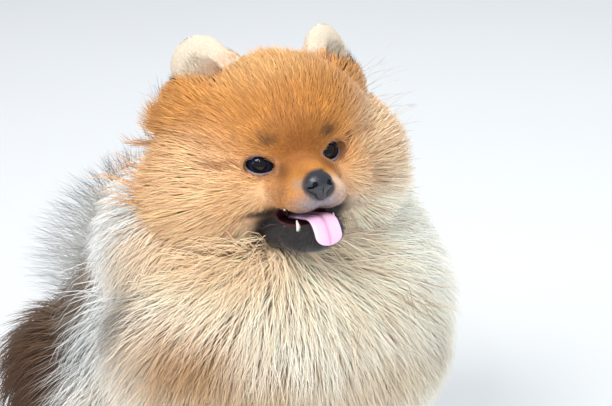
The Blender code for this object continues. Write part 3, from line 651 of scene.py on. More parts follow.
def distance(points, centre):
    return np.linalg.norm(points - np.array(centre), axis=1)


def reach_out(points, shape, grow=0.0, scale=1.0):
    """Square of how far out each point lies of a stretched ball, 1 on its surface."""
    gap = (points - np.array(shape[0])) / (np.array(shape[1]) * scale + grow)
    return (gap * gap).sum(1)


def along(ways, normals):
    """The part of each way that is square to its normal."""
    return unit(ways - normals * (ways * normals).sum(1)[:, None])


def in_head(points):
    return moved(points, HEAD.inverted())


def palette(name):
    return np.array(getattr(bpy.context.scene.coat_colours, name))


class Envelope:
    """The coat's outer surface, as a union of stretched balls."""

    def __init__(self, matrices):
        self.inverses = [np.array(m.inverted(), float) for m in matrices]

    def exit(self, start, direction):
        """How far each point travels along its direction before it leaves the envelope."""
        far = np.zeros(len(start))
        for _ in range(3):
            here = start + direction * (far + 1e-5)[:, None]
            for inverse in self.inverses:
                p = here @ inverse[:3, :3].T + inverse[:3, 3]
                d = direction @ inverse[:3, :3].T
                a, b, c = (d * d).sum(1), (p * d).sum(1), (p * p).sum(1) - 1
                leave = (-b + np.sqrt(np.maximum(b * b - a * c, 0))) / a
                far = np.where(c < 0, np.maximum(far, far + leave), far)
                here = start + direction * (far + 1e-5)[:, None]
        return far


def marked(points, base, marks):
    """The base colours with each row of the table blended in by its distance."""
    colours = np.array(base, float)
    for centre, radii, colour, strength in marks:
        weight = strength * np.exp(-(reach_out(points, (centre, radii)) ** 1.5))
        colours = mix(colours, np.array(colour), weight[:, None])
    return colours


def wavering(points, scale, seed):
    """Slow noise from -1 to 1 at each point, as three channels."""
    offset = Vector((seed * 7.3, seed * 3.1, seed * 5.7))
    return np.array([noise.noise_vector(Vector(p) * scale + offset) for p in points.tolist()])


def coat_colour(points):
    """The coat's markings, with painted light under the cheeks, at these points of the skin, in the world."""
    head, dog = in_head(points), points - np.array(STANCE)
    drift = wavering(points, 38.0, 1)
    speck = wavering(points, 160.0, 2)[:, :1]
    y, z = dog[:, 1], dog[:, 2]

    high = smooth_step(0.120, 0.185, z + 0.010 * drift[:, 0])
    body = marked(dog, mix(palette("cream"), palette("peach"), high[:, None]), BODY_MARKS)
    behind = smooth_step(0.000, 0.040, y + 0.4 * (z - 0.12) + 0.008 * drift[:, 1])
    body = mix(body, palette("band"), (behind * 0.9)[:, None])
    deep = smooth_step(0.050, 0.080, y + 0.15 * (0.12 - z) + 0.010 * drift[:, 2])
    rump = mix(palette("haunch"), palette("sable"), smooth_step(0.08, 0.15, z)[:, None])
    body = mix(body, rump, deep[:, None])

    forehead, crown = palette("forehead"), smooth_step(0.015, 0.055, head[:, 1])
    face = mix(forehead, forehead * np.array((1.10, 1.22, 1.50)), crown[:, None] * 0.6)
    face = marked(head, face * (1 + 0.14 * drift[:, :1]), HEAD_MARKS_AND_PAINTED_LIGHT)
    jaw = smooth_step(-0.0285, -0.0320, head[:, 2]) * smooth_step(0.034, 0.022, head[:, 1])
    jaw = jaw * smooth_step(0.031, 0.022, np.abs(head[:, 0]))
    face = mix(face, palette("jaw"), jaw[:, None])

    colours = mix(body, face, smooth_step(1.35, 1.05, head_reach(head))[:, None])
    return np.clip(colours * (1 + 0.10 * speck), 0.004, BRIGHTEST)


def head_reach(head):
    """How far out a point lies of the head's flesh, 1 just over its surface."""
    reach = np.full(len(head), 9.0)
    middle = [CROWN_CORE, NAPE_CORE, BROW, BRIDGE, MUZZLE_BASE, MUZZLE_MIDDLE, JAW_BACK, JAW_MIDDLE, CHIN]
    for shape in middle + both(CHEEK, FLUFF_CORE, EAR_ROOT_CORE, LIP_PAD):
        reach = np.minimum(reach, np.sqrt(reach_out(head, shape, 0.0025)))
    return reach


def values_of(items, name):
    """A vector of each of these items, as rows."""
    values = np.empty(len(items) * 3, np.float32)
    items.foreach_get(name, values)
    return values.reshape(-1, 3).astype(float)


def store(items, name, values):
    items.foreach_set(name, values.reshape(-1).astype(np.float32))


def paint(mesh, colours):
    """Gives the mesh these colours, one at each vertex."""
    rgba = np.concatenate([colours, np.ones((len(colours), 1))], 1)
    store(mesh.color_attributes.new("coat", "FLOAT_COLOR", "POINT").data, "color", rgba)


class Skin:
    """Corners, normals and areas of the skin's triangles, to root tufts on."""

    def __init__(self):
        mesh = bpy.data.objects["skin"].data
        mesh.calc_loop_triangles()
        corners = np.empty(len(mesh.loop_triangles) * 3, np.int32)
        mesh.loop_triangles.foreach_get("vertices", corners)
        # The carving leaves the triangles in another order each time, so they are sorted.
        self.corners = np.unique(np.sort(corners.reshape(-1, 3), axis=1), axis=0)
        self.points, self.normals = (values_of(mesh.vertices, name) for name in ("co", "normal"))
        a, b, c = (self.points[self.corners[:, i]] for i in range(3))
        self.areas = 0.5 * np.linalg.norm(np.cross(b - a, c - a), axis=1)
        self.middles = (a + b + c) / 3

    def roots(self, count, weight, draw):
        """Random places on the skin, closer together where the weight is larger, and their normals."""
        share = self.areas * weight
        picked = draw.choice(len(share), size=count, p=share / share.sum())
        s, t = draw.random(count), draw.random(count)
        over = s + t > 1
        s[over], t[over] = 1 - s[over], 1 - t[over]
        blend = np.stack([1 - s - t, s, t], 1)[:, :, None]
        corners = self.corners[picked]
        return (self.points[corners] * blend).sum(1), unit((self.normals[corners] * blend).sum(1))


def clumped(lines, roots, share, draw, clump=9):
    """Tufts gathered a little towards the tips of every few of them."""
    count = len(roots) // clump
    leaders = draw.choice(len(roots), size=count, replace=False)
    tree = KDTree(count)
    for k, i in enumerate(leaders):
        tree.insert(roots[i], k)
    tree.balance()
    nearest = leaders[[tree.find(r)[1] for r in roots.tolist()]]
    steps = np.linspace(0, 1, lines.shape[1]) ** 1.3
    pull = share * steps[None, :, None] * draw.uniform(0.5, 1.0, len(roots))[:, None, None]
    return mix(lines, lines[nearest], pull)


def tuft_lines(roots, normals, lies, lengths, lifts, sag, stations, draw, curl=0.0):
    """Centre lines of tufts that rise from the skin and bend over along their lie."""
    steps = np.array(STATIONS[stations])[None, :, None]
    up = normals[:, None, :]
    out = up * np.sin(lifts)[:, None, None] * (1 - (1 - steps) ** 2.2)
    ahead = lies[:, None, :] * np.cos(lifts)[:, None, None] * steps**1.15
    down = np.array((0, 0, -1.0))[None, None, :] * sag * steps**2
    side = np.cross(normals, lies)[:, None, :]
    bend = draw.normal(0, 1, len(roots))[:, None, None] * 0.10 * steps**2
    lines = roots[:, None, :] - up * ROOT_SINK
    lines = lines + lengths[:, None, None] * (out + ahead + down + side * bend)
    if curl:
        phase = draw.uniform(0, 6.28, len(roots))[:, None, None]
        turn = steps * draw.uniform(3.0, 5.5, len(roots))[:, None, None] + phase
        lines = lines + (side * np.sin(turn) + up * np.cos(turn) * 0.5) * curl * steps
    return lines


def within_room(lines):
    """Tufts shortened so that none ends too far outside the solids' box or under the floor."""
    low, high = np.array(CAD_BOX[0], float) - ROOM, np.array(CAD_BOX[1], float) + ROOM
    low[2] = FLOOR_GAP
    roots = lines[:, :1]
    reach = lines - roots
    room = np.where(reach > 0, high - roots, roots - low)
    fit = np.clip(room / np.maximum(np.abs(reach), 1e-9), 0.05, 1).min(axis=(1, 2))
    lines = roots + reach * fit[:, None, None]
    lines[..., 2] = np.maximum(lines[..., 2], FLOOR_GAP)
    return lines


def best_lifts(shapes, roots, normals, lies, lengths, low, high):
    """The lift, in radians, that lays each tuft's tip on the coat's outer surface."""
    envelope = Envelope(shapes)
    best, miss = np.full(len(roots), low), np.full(len(roots), 9.0)
    for lift in np.linspace(low, high, 8):
        direction = unit(normals * math.sin(lift) + lies * math.cos(lift))
        gap = np.abs(envelope.exit(roots, direction) - lengths)
        better = gap < miss
        best[better], miss[better] = lift, gap[better]
    return best


def tuft_faces(rings):
    """Corners of one tuft's faces, and their places on its patch of the map."""
    runs = [(r * 3 + i, r * 3 + (i + 1) % 3) for r in range(rings) for i in range(3)]
    faces = [(a, b, b + 3, a + 3) for a, b in runs[:-3]] + [(a, b, rings * 3) for a, b in runs[-3:]]
    heights = np.array(STATIONS[rings + 1]) * PATCH
    places = []
    for k, face in enumerate(faces):
        for place, corner in enumerate(face):
            column = k % 3 + (0.5 if place == 2 and len(face) == 3 else place in (1, 2))
            places.append((column / 3 * PATCH, heights[corner // 3]))
    end = 0.2 * PATCH
    return faces + [(2, 1, 0)], np.array(places + [(0, 0), (end, 0), (0, end)])


def tuft_mesh(name, lines, widths, normals, root_colours, tip_colours, unwrap, profile, soft):
    """Closed three-sided tapered tufts along these lines, joined into one mesh."""
    count, stations, _ = lines.shape
    rings = stations - 1
    per = rings * 3 + 1
    tangent = unit(np.gradient(lines, axis=1))
    across = unit(np.cross(tangent, normals[:, None, :]))
    over = unit(np.cross(across, tangent))
    half = widths[:, None, None] * np.array(profile)[None, :rings, None] / 2
    side, rise = across[:, :rings], over[:, :rings] * THICKNESS
    corners = np.stack([-side - rise * 0.5, rise * 1.6, side - rise * 0.5], 2)
    ring_points = lines[:, :rings, None, :] + corners * half[:, :, None, :]
    points = np.concatenate([ring_points.reshape(count, rings * 3, 3), lines[:, -1:]], 1)

    faces, patch = tuft_faces(rings)
    order = np.concatenate([np.array(face) for face in faces])
    loops = (order[None, :] + (np.arange(count) * per)[:, None]).reshape(-1)
    sizes = np.tile([len(face) for face in faces], count)
    mesh = bpy.data.meshes.new(name)
    mesh.vertices.add(count * per)
    mesh.loops.add(len(loops))
    mesh.polygons.add(len(sizes))
    store(mesh.vertices, "co", points)
    mesh.loops.foreach_set("vertex_index", loops.astype(np.int32))
    mesh.polygons.foreach_set("loop_start", np.append(0, np.cumsum(sizes)[:-1]).astype(np.int32))
    mesh.update(calc_edges=True)

    shade = np.append(np.repeat(STATIONS[stations][:rings], 3), 1.0)[None, :, None]
    colours = mix(root_colours[:, None, :], tip_colours[:, None, :], shade**1.2)
    # Each tuft darkens towards its root, to 0.74 at the skin: painted shade, as if less light reached down into the
    # coat.
    paint(mesh, (colours * (0.74 + 0.26 * np.minimum(1, shade * 2.2))).reshape(-1, 3))
    radial = np.concatenate([corners.reshape(count, rings * 3, 3), over[:, -1:]], 1)
    facing = unit(unit(radial) * (1 - soft) + normals[:, None, :] * soft)
    uv = mesh.uv_layers.new(name="OFBake")
    store(uv.data, "uv", unwrap[:, None, :] * (1 - PATCH) + patch[None])
    store(mesh.attributes.new("custom_normal", "FLOAT_VECTOR", "POINT").data, "vector", facing)
    mesh.validate()
    return mesh


def ball_unwrap(points, centre):
    """Longitude and latitude round a centre, as a place on the map from 0 to 1."""
    gap = points - np.array(centre)
    around = np.arctan2(gap[:, 0], -gap[:, 1])
    height = np.arctan2(gap[:, 2], np.hypot(gap[:, 0], gap[:, 1]))
    return np.stack([(around / (2 * math.pi)) % 1.0, height / math.pi + 0.5], 1)


def split_coat(name, parts, groups, slot, finish, profile, soft=0.76):
    """Makes one piece of each group of tufts."""
    parts = (within_room(parts[0]), *parts[1:])
    for suffix, chosen in groups:
        if not chosen.any():
            continue
        title = f"{name}_{suffix}" if suffix else name
        mesh = tuft_mesh(title, *(part[chosen] for part in parts), profile, soft)
        obj = new_object(title, mesh)
        mesh.materials.append(finish)
        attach(obj, "root")


def whole(count):
    return (("", np.ones(count, bool)),)


def halves(x):
    return (("right", x < 0), ("left", x >= 0))


def tones(draw, spread, count):
    """A random lightness for each tuft."""
    return np.exp(draw.normal(0, spread, (count, 1)))


def two_tones(base, tone, root, tip):
    """Colours of the tufts' roots and tips."""
    return [np.clip(base * tone * np.array(factor), 0, BRIGHTEST) for factor in (root, tip)]


def in_ear(points, side, grow=0.0010):
    ear = moved(points, ear_frame(side).inverted())
    return (reach_out(ear, EAR_BASE, grow) < 1) | (reach_out(ear, EAR_TIP, grow) < 1)


def before_eye(points, side, oval):
    """True in front of the eye, within an oval of this half width and height."""
    eye = moved(points, eye_frame(side).inverted())
    return ((eye[:, 0] / oval[0]) ** 2 + (eye[:, 2] / oval[1]) ** 2 < 1) & (eye[:, 1] < 0)


def hidden_spots(points):
    """True where the head's coat can't grow: eye openings, nose, mouth and ears."""
    head = in_head(points)
    bare = (reach_out(head, NOSE_BARE) < 1) | (reach_out(head, PALATE, 0.0012) < 1)
    for side in (1, -1):
        bare |= before_eye(points, side, EYE_BARE) | in_ear(points, side)
    return bare


class DOG_OT_skin(bpy.types.Operator):
    """Make the one skin of head, body, legs and tail, with the ears' cups and the mouth"""

    bl_idname = "dog.skin"
    bl_label = "Skin"

    def execute(self, context):
        trunk = [COLLAR_CORE, CHEST_CORE, BIB_CORE, BACK_CORE, RUMP_CORE, RIBS, LOIN] + both(THIGH_CORE)
        matrices = body_matrices(*trunk)
        for side in (1, -1):
            legs = limb_matrices(FORELEG_LINE, FORELEG_RADII, side) + limb_matrices(HOCK_LINE, HOCK_RADII, side)
            paws = paw_shapes(FORE_FOOT, FORE_TOE, FORE_TOE_SPREAD, side)
            paws += paw_shapes(HIND_FOOT, HIND_TOE, HIND_TOE_SPREAD, side)
            matrices += [BODY @ m for m in legs + [shape_matrix(shape) for shape in paws]]
            matrices += [ear_frame(side) @ shape_matrix(shape) for shape in (EAR_BASE, EAR_TIP)]
        matrices += [TAIL @ m for m in limb_matrices(DOCK, DOCK_RADII)]
        rear = [CROWN_CORE, BROW, NAPE_CORE] + both(CHEEK, FLUFF_CORE, EAR_ROOT_CORE)
        front = [MUZZLE_BASE, MUZZLE_MIDDLE, BRIDGE, JAW_BACK, JAW_MIDDLE, CHIN] + both(LIP_PAD)
        matrices += head_matrices(*rear, *front)
        skin = melted("skin", matrices, SKIN_VOXEL, 6)
        cutters = head_matrices(PALATE, TONGUE_BED)
        wide, deep, high = EYE_OPENING
        socket = ((0, 0, 0), (EYE_RADIUS + 0.0002,) * 3, 0.0)
        opening = ((0, -deep * 0.85, 0), (wide + 0.0012, deep, high + 0.0010), 0.0)
        for side in (1, -1):
            cutters += [eye_frame(side) @ shape_matrix(shape) for shape in (socket, opening)]
            cutters += [ear_frame(side) @ shape_matrix(EAR_CUP)]
        carved(skin, cutters, True)
        mesh = skin.data
        settings = {"Roughness": 0.72, "Specular IOR Level": 0.25}
        mesh.materials.clear()
        mesh.materials.append(
            surface("skin_under_coat", markings, 700.0, 0.22, settings, (1400.0, 0.5, 0.0006))
        )
        mesh.shade_smooth()
        colour_skin(mesh)
        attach(skin, "root")
        legs = [f"{leg}_{word}" for leg in ("foreleg", "hindleg", "ear") for _, word in SIDES]
        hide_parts("head", "neck", "torso", "tail", "lower_jaw", *legs)
        return {"FINISHED"}


def colour_skin(mesh):
    """Gives the skin the coat's markings, darkened a little as painted shade under the coat, with bare skin in ears
    and mouth.
    """
    points = values_of(mesh.vertices, "co")
    # Darker by 0.85 than the coat: painted shade under the hairs.
    colours = coat_colour(points) * 0.85
    head = in_head(points)
    colours[reach_out(head, PALATE, 0.0008) < 1.05] = MOUTH_SKIN
    colours = mix(colours, np.array(NOSE_SKIN), smooth_step(1.25, 0.85, reach_out(head, NOSE_RIM))[:, None])
    for side in (1, -1):
        ear = moved(points, ear_frame(side).inverted())
        colours[before_eye(points, side, EYE_RIM)] = EYE_SKIN
        # The skin under the ears' coat is darker than their fur: painted shade under the coat.
        colours[in_ear(points, side, 0.0005)] = palette("ear") * 0.75
        colours[reach_out(ear, EAR_CUP, 0.0006) < 1] = CUP_SKIN
    paint(mesh, colours)


def grow_head(sizes, face):
    """Tufts of the face, or of the longer coat behind it."""
    draw = np.random.default_rng(SEED + (1 if face else 2))
    skin = Skin()
    head = in_head(skin.middles)
    far = distance(head, FACE_HEART)
    under = (head[:, 2] < -0.050) | (head[:, 1] > 0.062)
    weight = (head_reach(head) < 1.0) & ~hidden_spots(skin.middles) & ~under
    if face:
        weight = weight * smooth_step(0.056, 0.040, far) * (1 + 2.2 * smooth_step(0.034, 0.016, far))
    else:
        weight = weight * smooth_step(0.034, 0.050, far)
    count = sizes.face_tufts if face else sizes.head_tufts
    roots, normals = skin.roots(count, weight, draw)
    q = in_head(roots)
    far, aside = distance(q, FACE_HEART), np.abs(q[:, 0])
    lengths = np.interp(far, FACE_STEPS, FACE_LENGTHS)
    cheek = smooth_step(0.004, -0.020, q[:, 2]) * smooth_step(0.020, 0.045, aside)
    lengths = lengths * (1 + 0.35 * cheek) * draw.uniform(0.78, 1.12, count)
    jaw = smooth_step(-0.028, -0.033, q[:, 2]) * smooth_step(0.030, 0.020, q[:, 1])
    jaw = jaw * smooth_step(0.030, 0.022, aside)
    lengths = mix(lengths, JAW_LENGTH, jaw)
    for side in (1, -1):
        ear = q - np.array(EAR_CENTRE[side]) - np.array((0, -0.006, -0.006))
        lengths *= 1 - 0.62 * smooth_step(0.040, 0.022, np.linalg.norm(ear, axis=1))
        lengths *= 1 - 0.74 * smooth_step(0.018, 0.009, distance(q, (0.0230 * side, 0.0100, -0.0290)))
    away, spread = unit(q - np.array(NOSE_TIP)), unit(q - np.array(FACE_MIDDLE))
    behind = smooth_step(0.030, 0.060, far)[:, None]
    lie = mix(away, spread + np.array((0, 0.30, -0.10)), behind * 0.8)
    lie = along(turned(lie, HEAD) + 0.22 * wavering(roots, 60.0, 3) + draw.normal(0, 0.10, (count, 3)), normals)
    shapes = head_matrices(CROWN, NAPE, *both(CHEEK_FLUFF, EAR_ROOT, CHEEK))
    laid = best_lifts(shapes, roots, normals, lie, lengths, 0.12, 0.95)
    short = np.radians(draw.uniform(12, 26, count))
    lifts = mix(short, laid * draw.uniform(0.75, 1.0, count), smooth_step(0.030, 0.052, far))
    lines = tuft_lines(roots, normals, lie, lengths, lifts, 0.05, 3 if face else 4, draw)
    lines = clumped(lines, roots, 0.22, draw)
    tone = tones(draw, 0.20, count)
    root_colours, tip_colours = two_tones(coat_colour(roots), tone, (1.02, 0.94, 0.80), (1.08, 1.14, 1.22))
    chin = jaw * smooth_step(-0.040, -0.050, q[:, 2])
    tip_colours = mix(tip_colours, np.array(CHIN_TIPS), chin[:, None])
    widths = mix(sizes.face_width, sizes.head_width, smooth_step(0.030, 0.075, far))
    widths = widths * draw.uniform(0.75, 1.25, count)
    unwrap = ball_unwrap(q, (0, 0.030, 0.0))
    return (lines, widths, normals, root_colours, tip_colours, unwrap), halves(q[:, 0])


class DOG_OT_face_coat(bpy.types.Operator):
    """Grow the short coat of the face"""

    bl_idname = "dog.face_coat"
    bl_label = "Face coat"

    def execute(self, context):
        coat = grow_head(context.scene.coat_sizes, True)
        split_coat("face_coat", *coat, "orange_coat", hair("face_hair", 0.6, 1500.0), PROFILE_SHORT)
        return {"FINISHED"}


class DOG_OT_head_coat(bpy.types.Operator):
    """Grow the longer coat of crown, cheeks and nape"""

    bl_idname = "dog.head_coat"
    bl_label = "Head coat"

    def execute(self, context):
        coat = grow_head(context.scene.coat_sizes, False)
        split_coat("head_coat", *coat, "orange_coat", hair("head_hair", 0.62, 1100.0), PROFILE_MIDDLE)
        return {"FINISHED"}


def body_places(skin):
    """Which of the skin's triangles lie clear of the head, and which of them under the mane."""
    dog, head = skin.middles - np.array(STANCE), in_head(skin.middles)
    clear, mane = np.ones(len(dog), bool), np.zeros(len(dog), bool)
    for shape in (CROWN_CORE, NAPE_CORE, JAW_BACK, JAW_MIDDLE, CHIN, *both(CHEEK, FLUFF_CORE, EAR_ROOT_CORE)):
        clear &= reach_out(head, shape, scale=1.02) > 1
    for shape in (COLLAR_CORE, CHEST_CORE, BIB_CORE):
        mane |= reach_out(dog, shape, scale=1.035) < 1
    return dog, clear, mane


def body_coat(kind, draw, roots, normals, lie, lengths, width, shapes, lift_range, flank=None):
    """The ruff's or the back's tufts from their roots, ways and lengths."""
    ruff, count = kind == "ruff", len(roots)
    lie = lie + 0.45 * wavering(roots, 24.0, 5) + 0.26 * wavering(roots, 90.0, 6) + draw.normal(0, 0.10, (count, 3))
    lie = along(lie, normals)
    lifts = best_lifts(shapes, roots, normals, lie, lengths, *lift_range) * draw.uniform(0.82, 1.0, count)
    if ruff:
        lifts = mix(lifts, 0.22, flank * 0.9)
    lines = tuft_lines(roots, normals, lie, lengths, lifts, 0.06, 5 if ruff else 4, draw, 0.0030)
    lines = clumped(lines, roots, 0.24, draw)
    base = coat_colour(lines[:, 3 if ruff else 2])
    root_colours, tip_colours = two_tones(base, tones(draw, 0.12, count), (0.99, 0.96, 0.92), (1.04, 1.04, 1.04))
    share, change = (0.10, np.array((0.88, 0.74, 0.54))) if ruff else (0.25, 0.55)
    chosen = (draw.random(count) < share)[:, None]
    tip_colours = np.where(chosen, tip_colours * change, tip_colours)
    widths = width * draw.uniform(0.7, 1.3, count)
    place = roots - np.array(STANCE)
    unwrap = ball_unwrap(place, (0, 0, 0.12) if ruff else (0, 0.06, 0.08))
    return lines, widths, normals, root_colours, tip_colours, unwrap


class DOG_OT_ruff(bpy.types.Operator):
    """Grow the long ruff of neck and chest"""

    bl_idname = "dog.ruff"
    bl_label = "Ruff"

    def execute(self, context):
        sizes = context.scene.coat_sizes
        draw = np.random.default_rng(SEED + 3)
        skin = Skin()
        dog, clear, mane = body_places(skin)
        count = sizes.ruff_tufts
        weight = clear * mane * (1 + 0.5 * smooth_step(0.02, -0.06, dog[:, 1]))
        roots, normals = skin.roots(count, weight, draw)
        place = roots - np.array(STANCE)
        x, y, z = place.T
        flank = smooth_step(-0.035, -0.075, x) * smooth_step(0.140, 0.175, z)
        lie = unit(roots - np.array(HEAD @ FACE_MIDDLE)) + np.array((0, 0.12, -0.50))
        lie = mix(lie, np.array((-0.10, 0.30, -1.0)), flank[:, None] * 0.75)
        lengths = sizes.ruff_length * mix(0.82, 1.0, smooth_step(0.20, 0.14, z)) * draw.uniform(0.58, 1.08, count)
        lengths *= 1 - 0.38 * flank
        shapes = body_matrices(COLLAR, SHOULDERS, CHEST, BIB)
        parts = body_coat(
            "ruff", draw, roots, normals, lie, lengths, sizes.ruff_width, shapes, (0.12, 1.0), flank
        )
        front, chest = (y < -0.03) & (z >= 0.13), (y < -0.03) & (z < 0.13)
        groups = [
            (f"{part}_{side}", where & chosen)
            for part, where in (("front", front), ("chest", chest), ("side", y >= -0.03))
            for side, chosen in halves(x)
        ]
        split_coat("ruff", parts, groups, "cream_coat", hair("ruff_hair", 0.64, 900.0), PROFILE_LONG, 0.80)
        return {"FINISHED"}


class DOG_OT_back_coat(bpy.types.Operator):
    """Grow the coat of back, rump and thighs"""

    bl_idname = "dog.back_coat"
    bl_label = "Back coat"

    def execute(self, context):
        sizes = context.scene.coat_sizes
        draw = np.random.default_rng(SEED + 4)
        skin = Skin()
        dog, clear, mane = body_places(skin)
        count = sizes.back_tufts
        leg = (dog[:, 2] < 0.026) & (dog[:, 1] < 0.10)
        tail = np.linalg.norm(moved(skin.middles, TAIL.inverted())[:, :2], axis=1) < 0.030
        weight = clear * ~mane * ~leg * (dog[:, 2] > 0.012) * (dog[:, 1] > -0.020)
        weight = weight * np.where(tail & (dog[:, 2] > 0.11), 0.3, 1.0) * (dog[:, 2] < 0.205)
        weight = weight * ~in_ear(skin.middles, 1) * ~in_ear(skin.middles, -1)
        roots, normals = skin.roots(count, weight, draw)
        x, y, z = (roots - np.array(STANCE)).T
        thigh = smooth_step(0.040, 0.060, np.abs(x))[:, None]
        back = np.stack([x * 4, np.full(count, 0.9), np.full(count, -0.45)], 1)
        lie = mix(back, np.array((0, 0.45, -0.9)), thigh)
        lengths = sizes.back_length * draw.uniform(0.72, 1.08, count)
        lengths *= mix(0.55, 1.0, smooth_step(0.015, 0.050, z))
        lengths *= 1 - 0.45 * smooth_step(0.110, 0.150, y)
        shapes = body_matrices(BACK, RUMP, *both(THIGH))
        parts = body_coat("back", draw, roots, normals, lie, lengths, sizes.back_width, shapes, (0.10, 0.85))
        split_coat("back_coat", parts, halves(x), "sable_coat", hair("back_hair", 0.62, 900.0), PROFILE_MIDDLE)
        return {"FINISHED"}


class DOG_OT_plume(bpy.types.Operator):
    """Grow the long fan of the tail, which lies over the back"""

    bl_idname = "dog.plume"
    bl_label = "Tail plume"

    def execute(self, context):
        sizes = context.scene.coat_sizes
        draw = np.random.default_rng(SEED + 5)
        count = sizes.plume_tufts
        rise = draw.random(count) ** 0.8
        spread = np.radians(mix(142, 70, rise)) * draw.uniform(-1, 1, count)
        start = np.array(DOCK[0]) + (np.array(DOCK[2]) - np.array(DOCK[0])) * rise[:, None]
        lean = np.radians(draw.uniform(-14, 44, count))[:, None]
        flat = np.stack([np.sin(spread), np.zeros(count), np.cos(spread)], 1)
        outward = np.array((0, 1.0, 0))
        lie = flat * np.cos(lean) + outward * np.sin(lean)
        normal = outward * np.cos(lean) - flat * np.sin(lean)
        roots = start + flat * 0.004 + draw.normal(0, 0.003, (count, 3))
        roots, lie, normal = moved(roots, TAIL), turned(lie, TAIL), turned(normal, TAIL)
        lie = unit(lie + 0.10 * wavering(roots, 70.0, 8))
        normal = along(normal, lie)
        room = Envelope(body_matrices(PLUME_ROOM)).exit(roots, lie)
        lengths = sizes.plume_length * draw.uniform(0.7, 1.1, count)
        lengths = np.maximum(np.minimum(lengths, room * draw.uniform(0.8, 1.0, count) + 0.004), 0.018)
        lifts = np.radians(draw.uniform(-2, 12, count))
        lines = tuft_lines(roots, normal, lie, lengths, lifts, 0.04, 5, draw, 0.0050)
        lines = clumped(lines, roots + lie * 0.02, 0.35, draw)
        colour = palette("plume")
        tone = tones(draw, 0.10, count)
        root_colours = colour * tone * np.array((0.85, 0.80, 0.72))
        tip_colours = np.clip(colour * tone * 1.15, 0, BRIGHTEST)
        unwrap = ball_unwrap(moved(roots, TAIL.inverted()), (0, -0.05, -0.02))
        widths = sizes.plume_width * draw.uniform(0.7, 1.3, count)
        parts = (lines, widths, normal, root_colours, tip_colours, unwrap)
        finish = hair("plume_hair", 0.6, 900.0)
        split_coat("tail_plume", parts, whole(count), "pale_coat", finish, PROFILE_LONG, 0.0)
        return {"FINISHED"}


class DOG_OT_leg_coat(bpy.types.Operator):
    """Grow the short coat of legs and feet"""

    bl_idname = "dog.leg_coat"
    bl_label = "Leg coat"

    def execute(self, context):
        draw = np.random.default_rng(SEED + 6)
        skin = Skin()
        x, y, z = (skin.middles - np.array(STANCE)).T
        fore = (y < -0.012) & (z < 0.075) & (np.abs(x) < 0.056)
        hind = (z < 0.034) & (y < 0.098) & (np.abs(x) > 0.046)
        count = context.scene.coat_sizes.leg_tufts
        roots, normals = skin.roots(count, (fore | hind) * (z > 0.001) * 1.0, draw)
        place = roots - np.array(STANCE)
        height = place[:, 2]
        is_fore = place[:, 1] < -0.026
        down = np.where(is_fore[:, None], np.array((0, -0.15, -1.0)), np.array((0, -1.0, -0.25)))
        near_toe = smooth_step(0.022, 0.010, height)[:, None]
        lie = mix(down, np.array((0, -1.0, -0.3)), near_toe * 0.7) + 0.15 * wavering(roots, 80.0, 9)
        lie = along(lie + draw.normal(0, 0.08, (count, 3)), normals)
        lengths = mix(0.0042, 0.0120, smooth_step(0.012, 0.055, height)) * draw.uniform(0.75, 1.15, count)
        feather = is_fore & (normals[:, 1] > 0.2) & (height > 0.025)
        lengths = np.where(feather, lengths * 1.9, lengths)
        lifts = np.radians(draw.uniform(8, 20, count)) + np.where(feather, 0.25, 0.0)
        lines = clumped(tuft_lines(roots, normals, lie, lengths, lifts, 0.03, 3, draw), roots, 0.25, draw)
        base = np.where(is_fore[:, None], palette("leg"), mix(palette("leg"), palette("haunch"), 0.35))
        colours = two_tones(base, tones(draw, 0.12, count), 0.9, 1.08)
        widths = LEG_WIDTH * draw.uniform(0.7, 1.3, count)
        parts = (lines, widths, normals, *colours, ball_unwrap(place, (0, 0.0, 0.05)))
        split_coat("leg_coat", parts, whole(count), "orange_coat", hair("leg_hair", 0.62, 1200.0), PROFILE_SHORT)
        return {"FINISHED"}


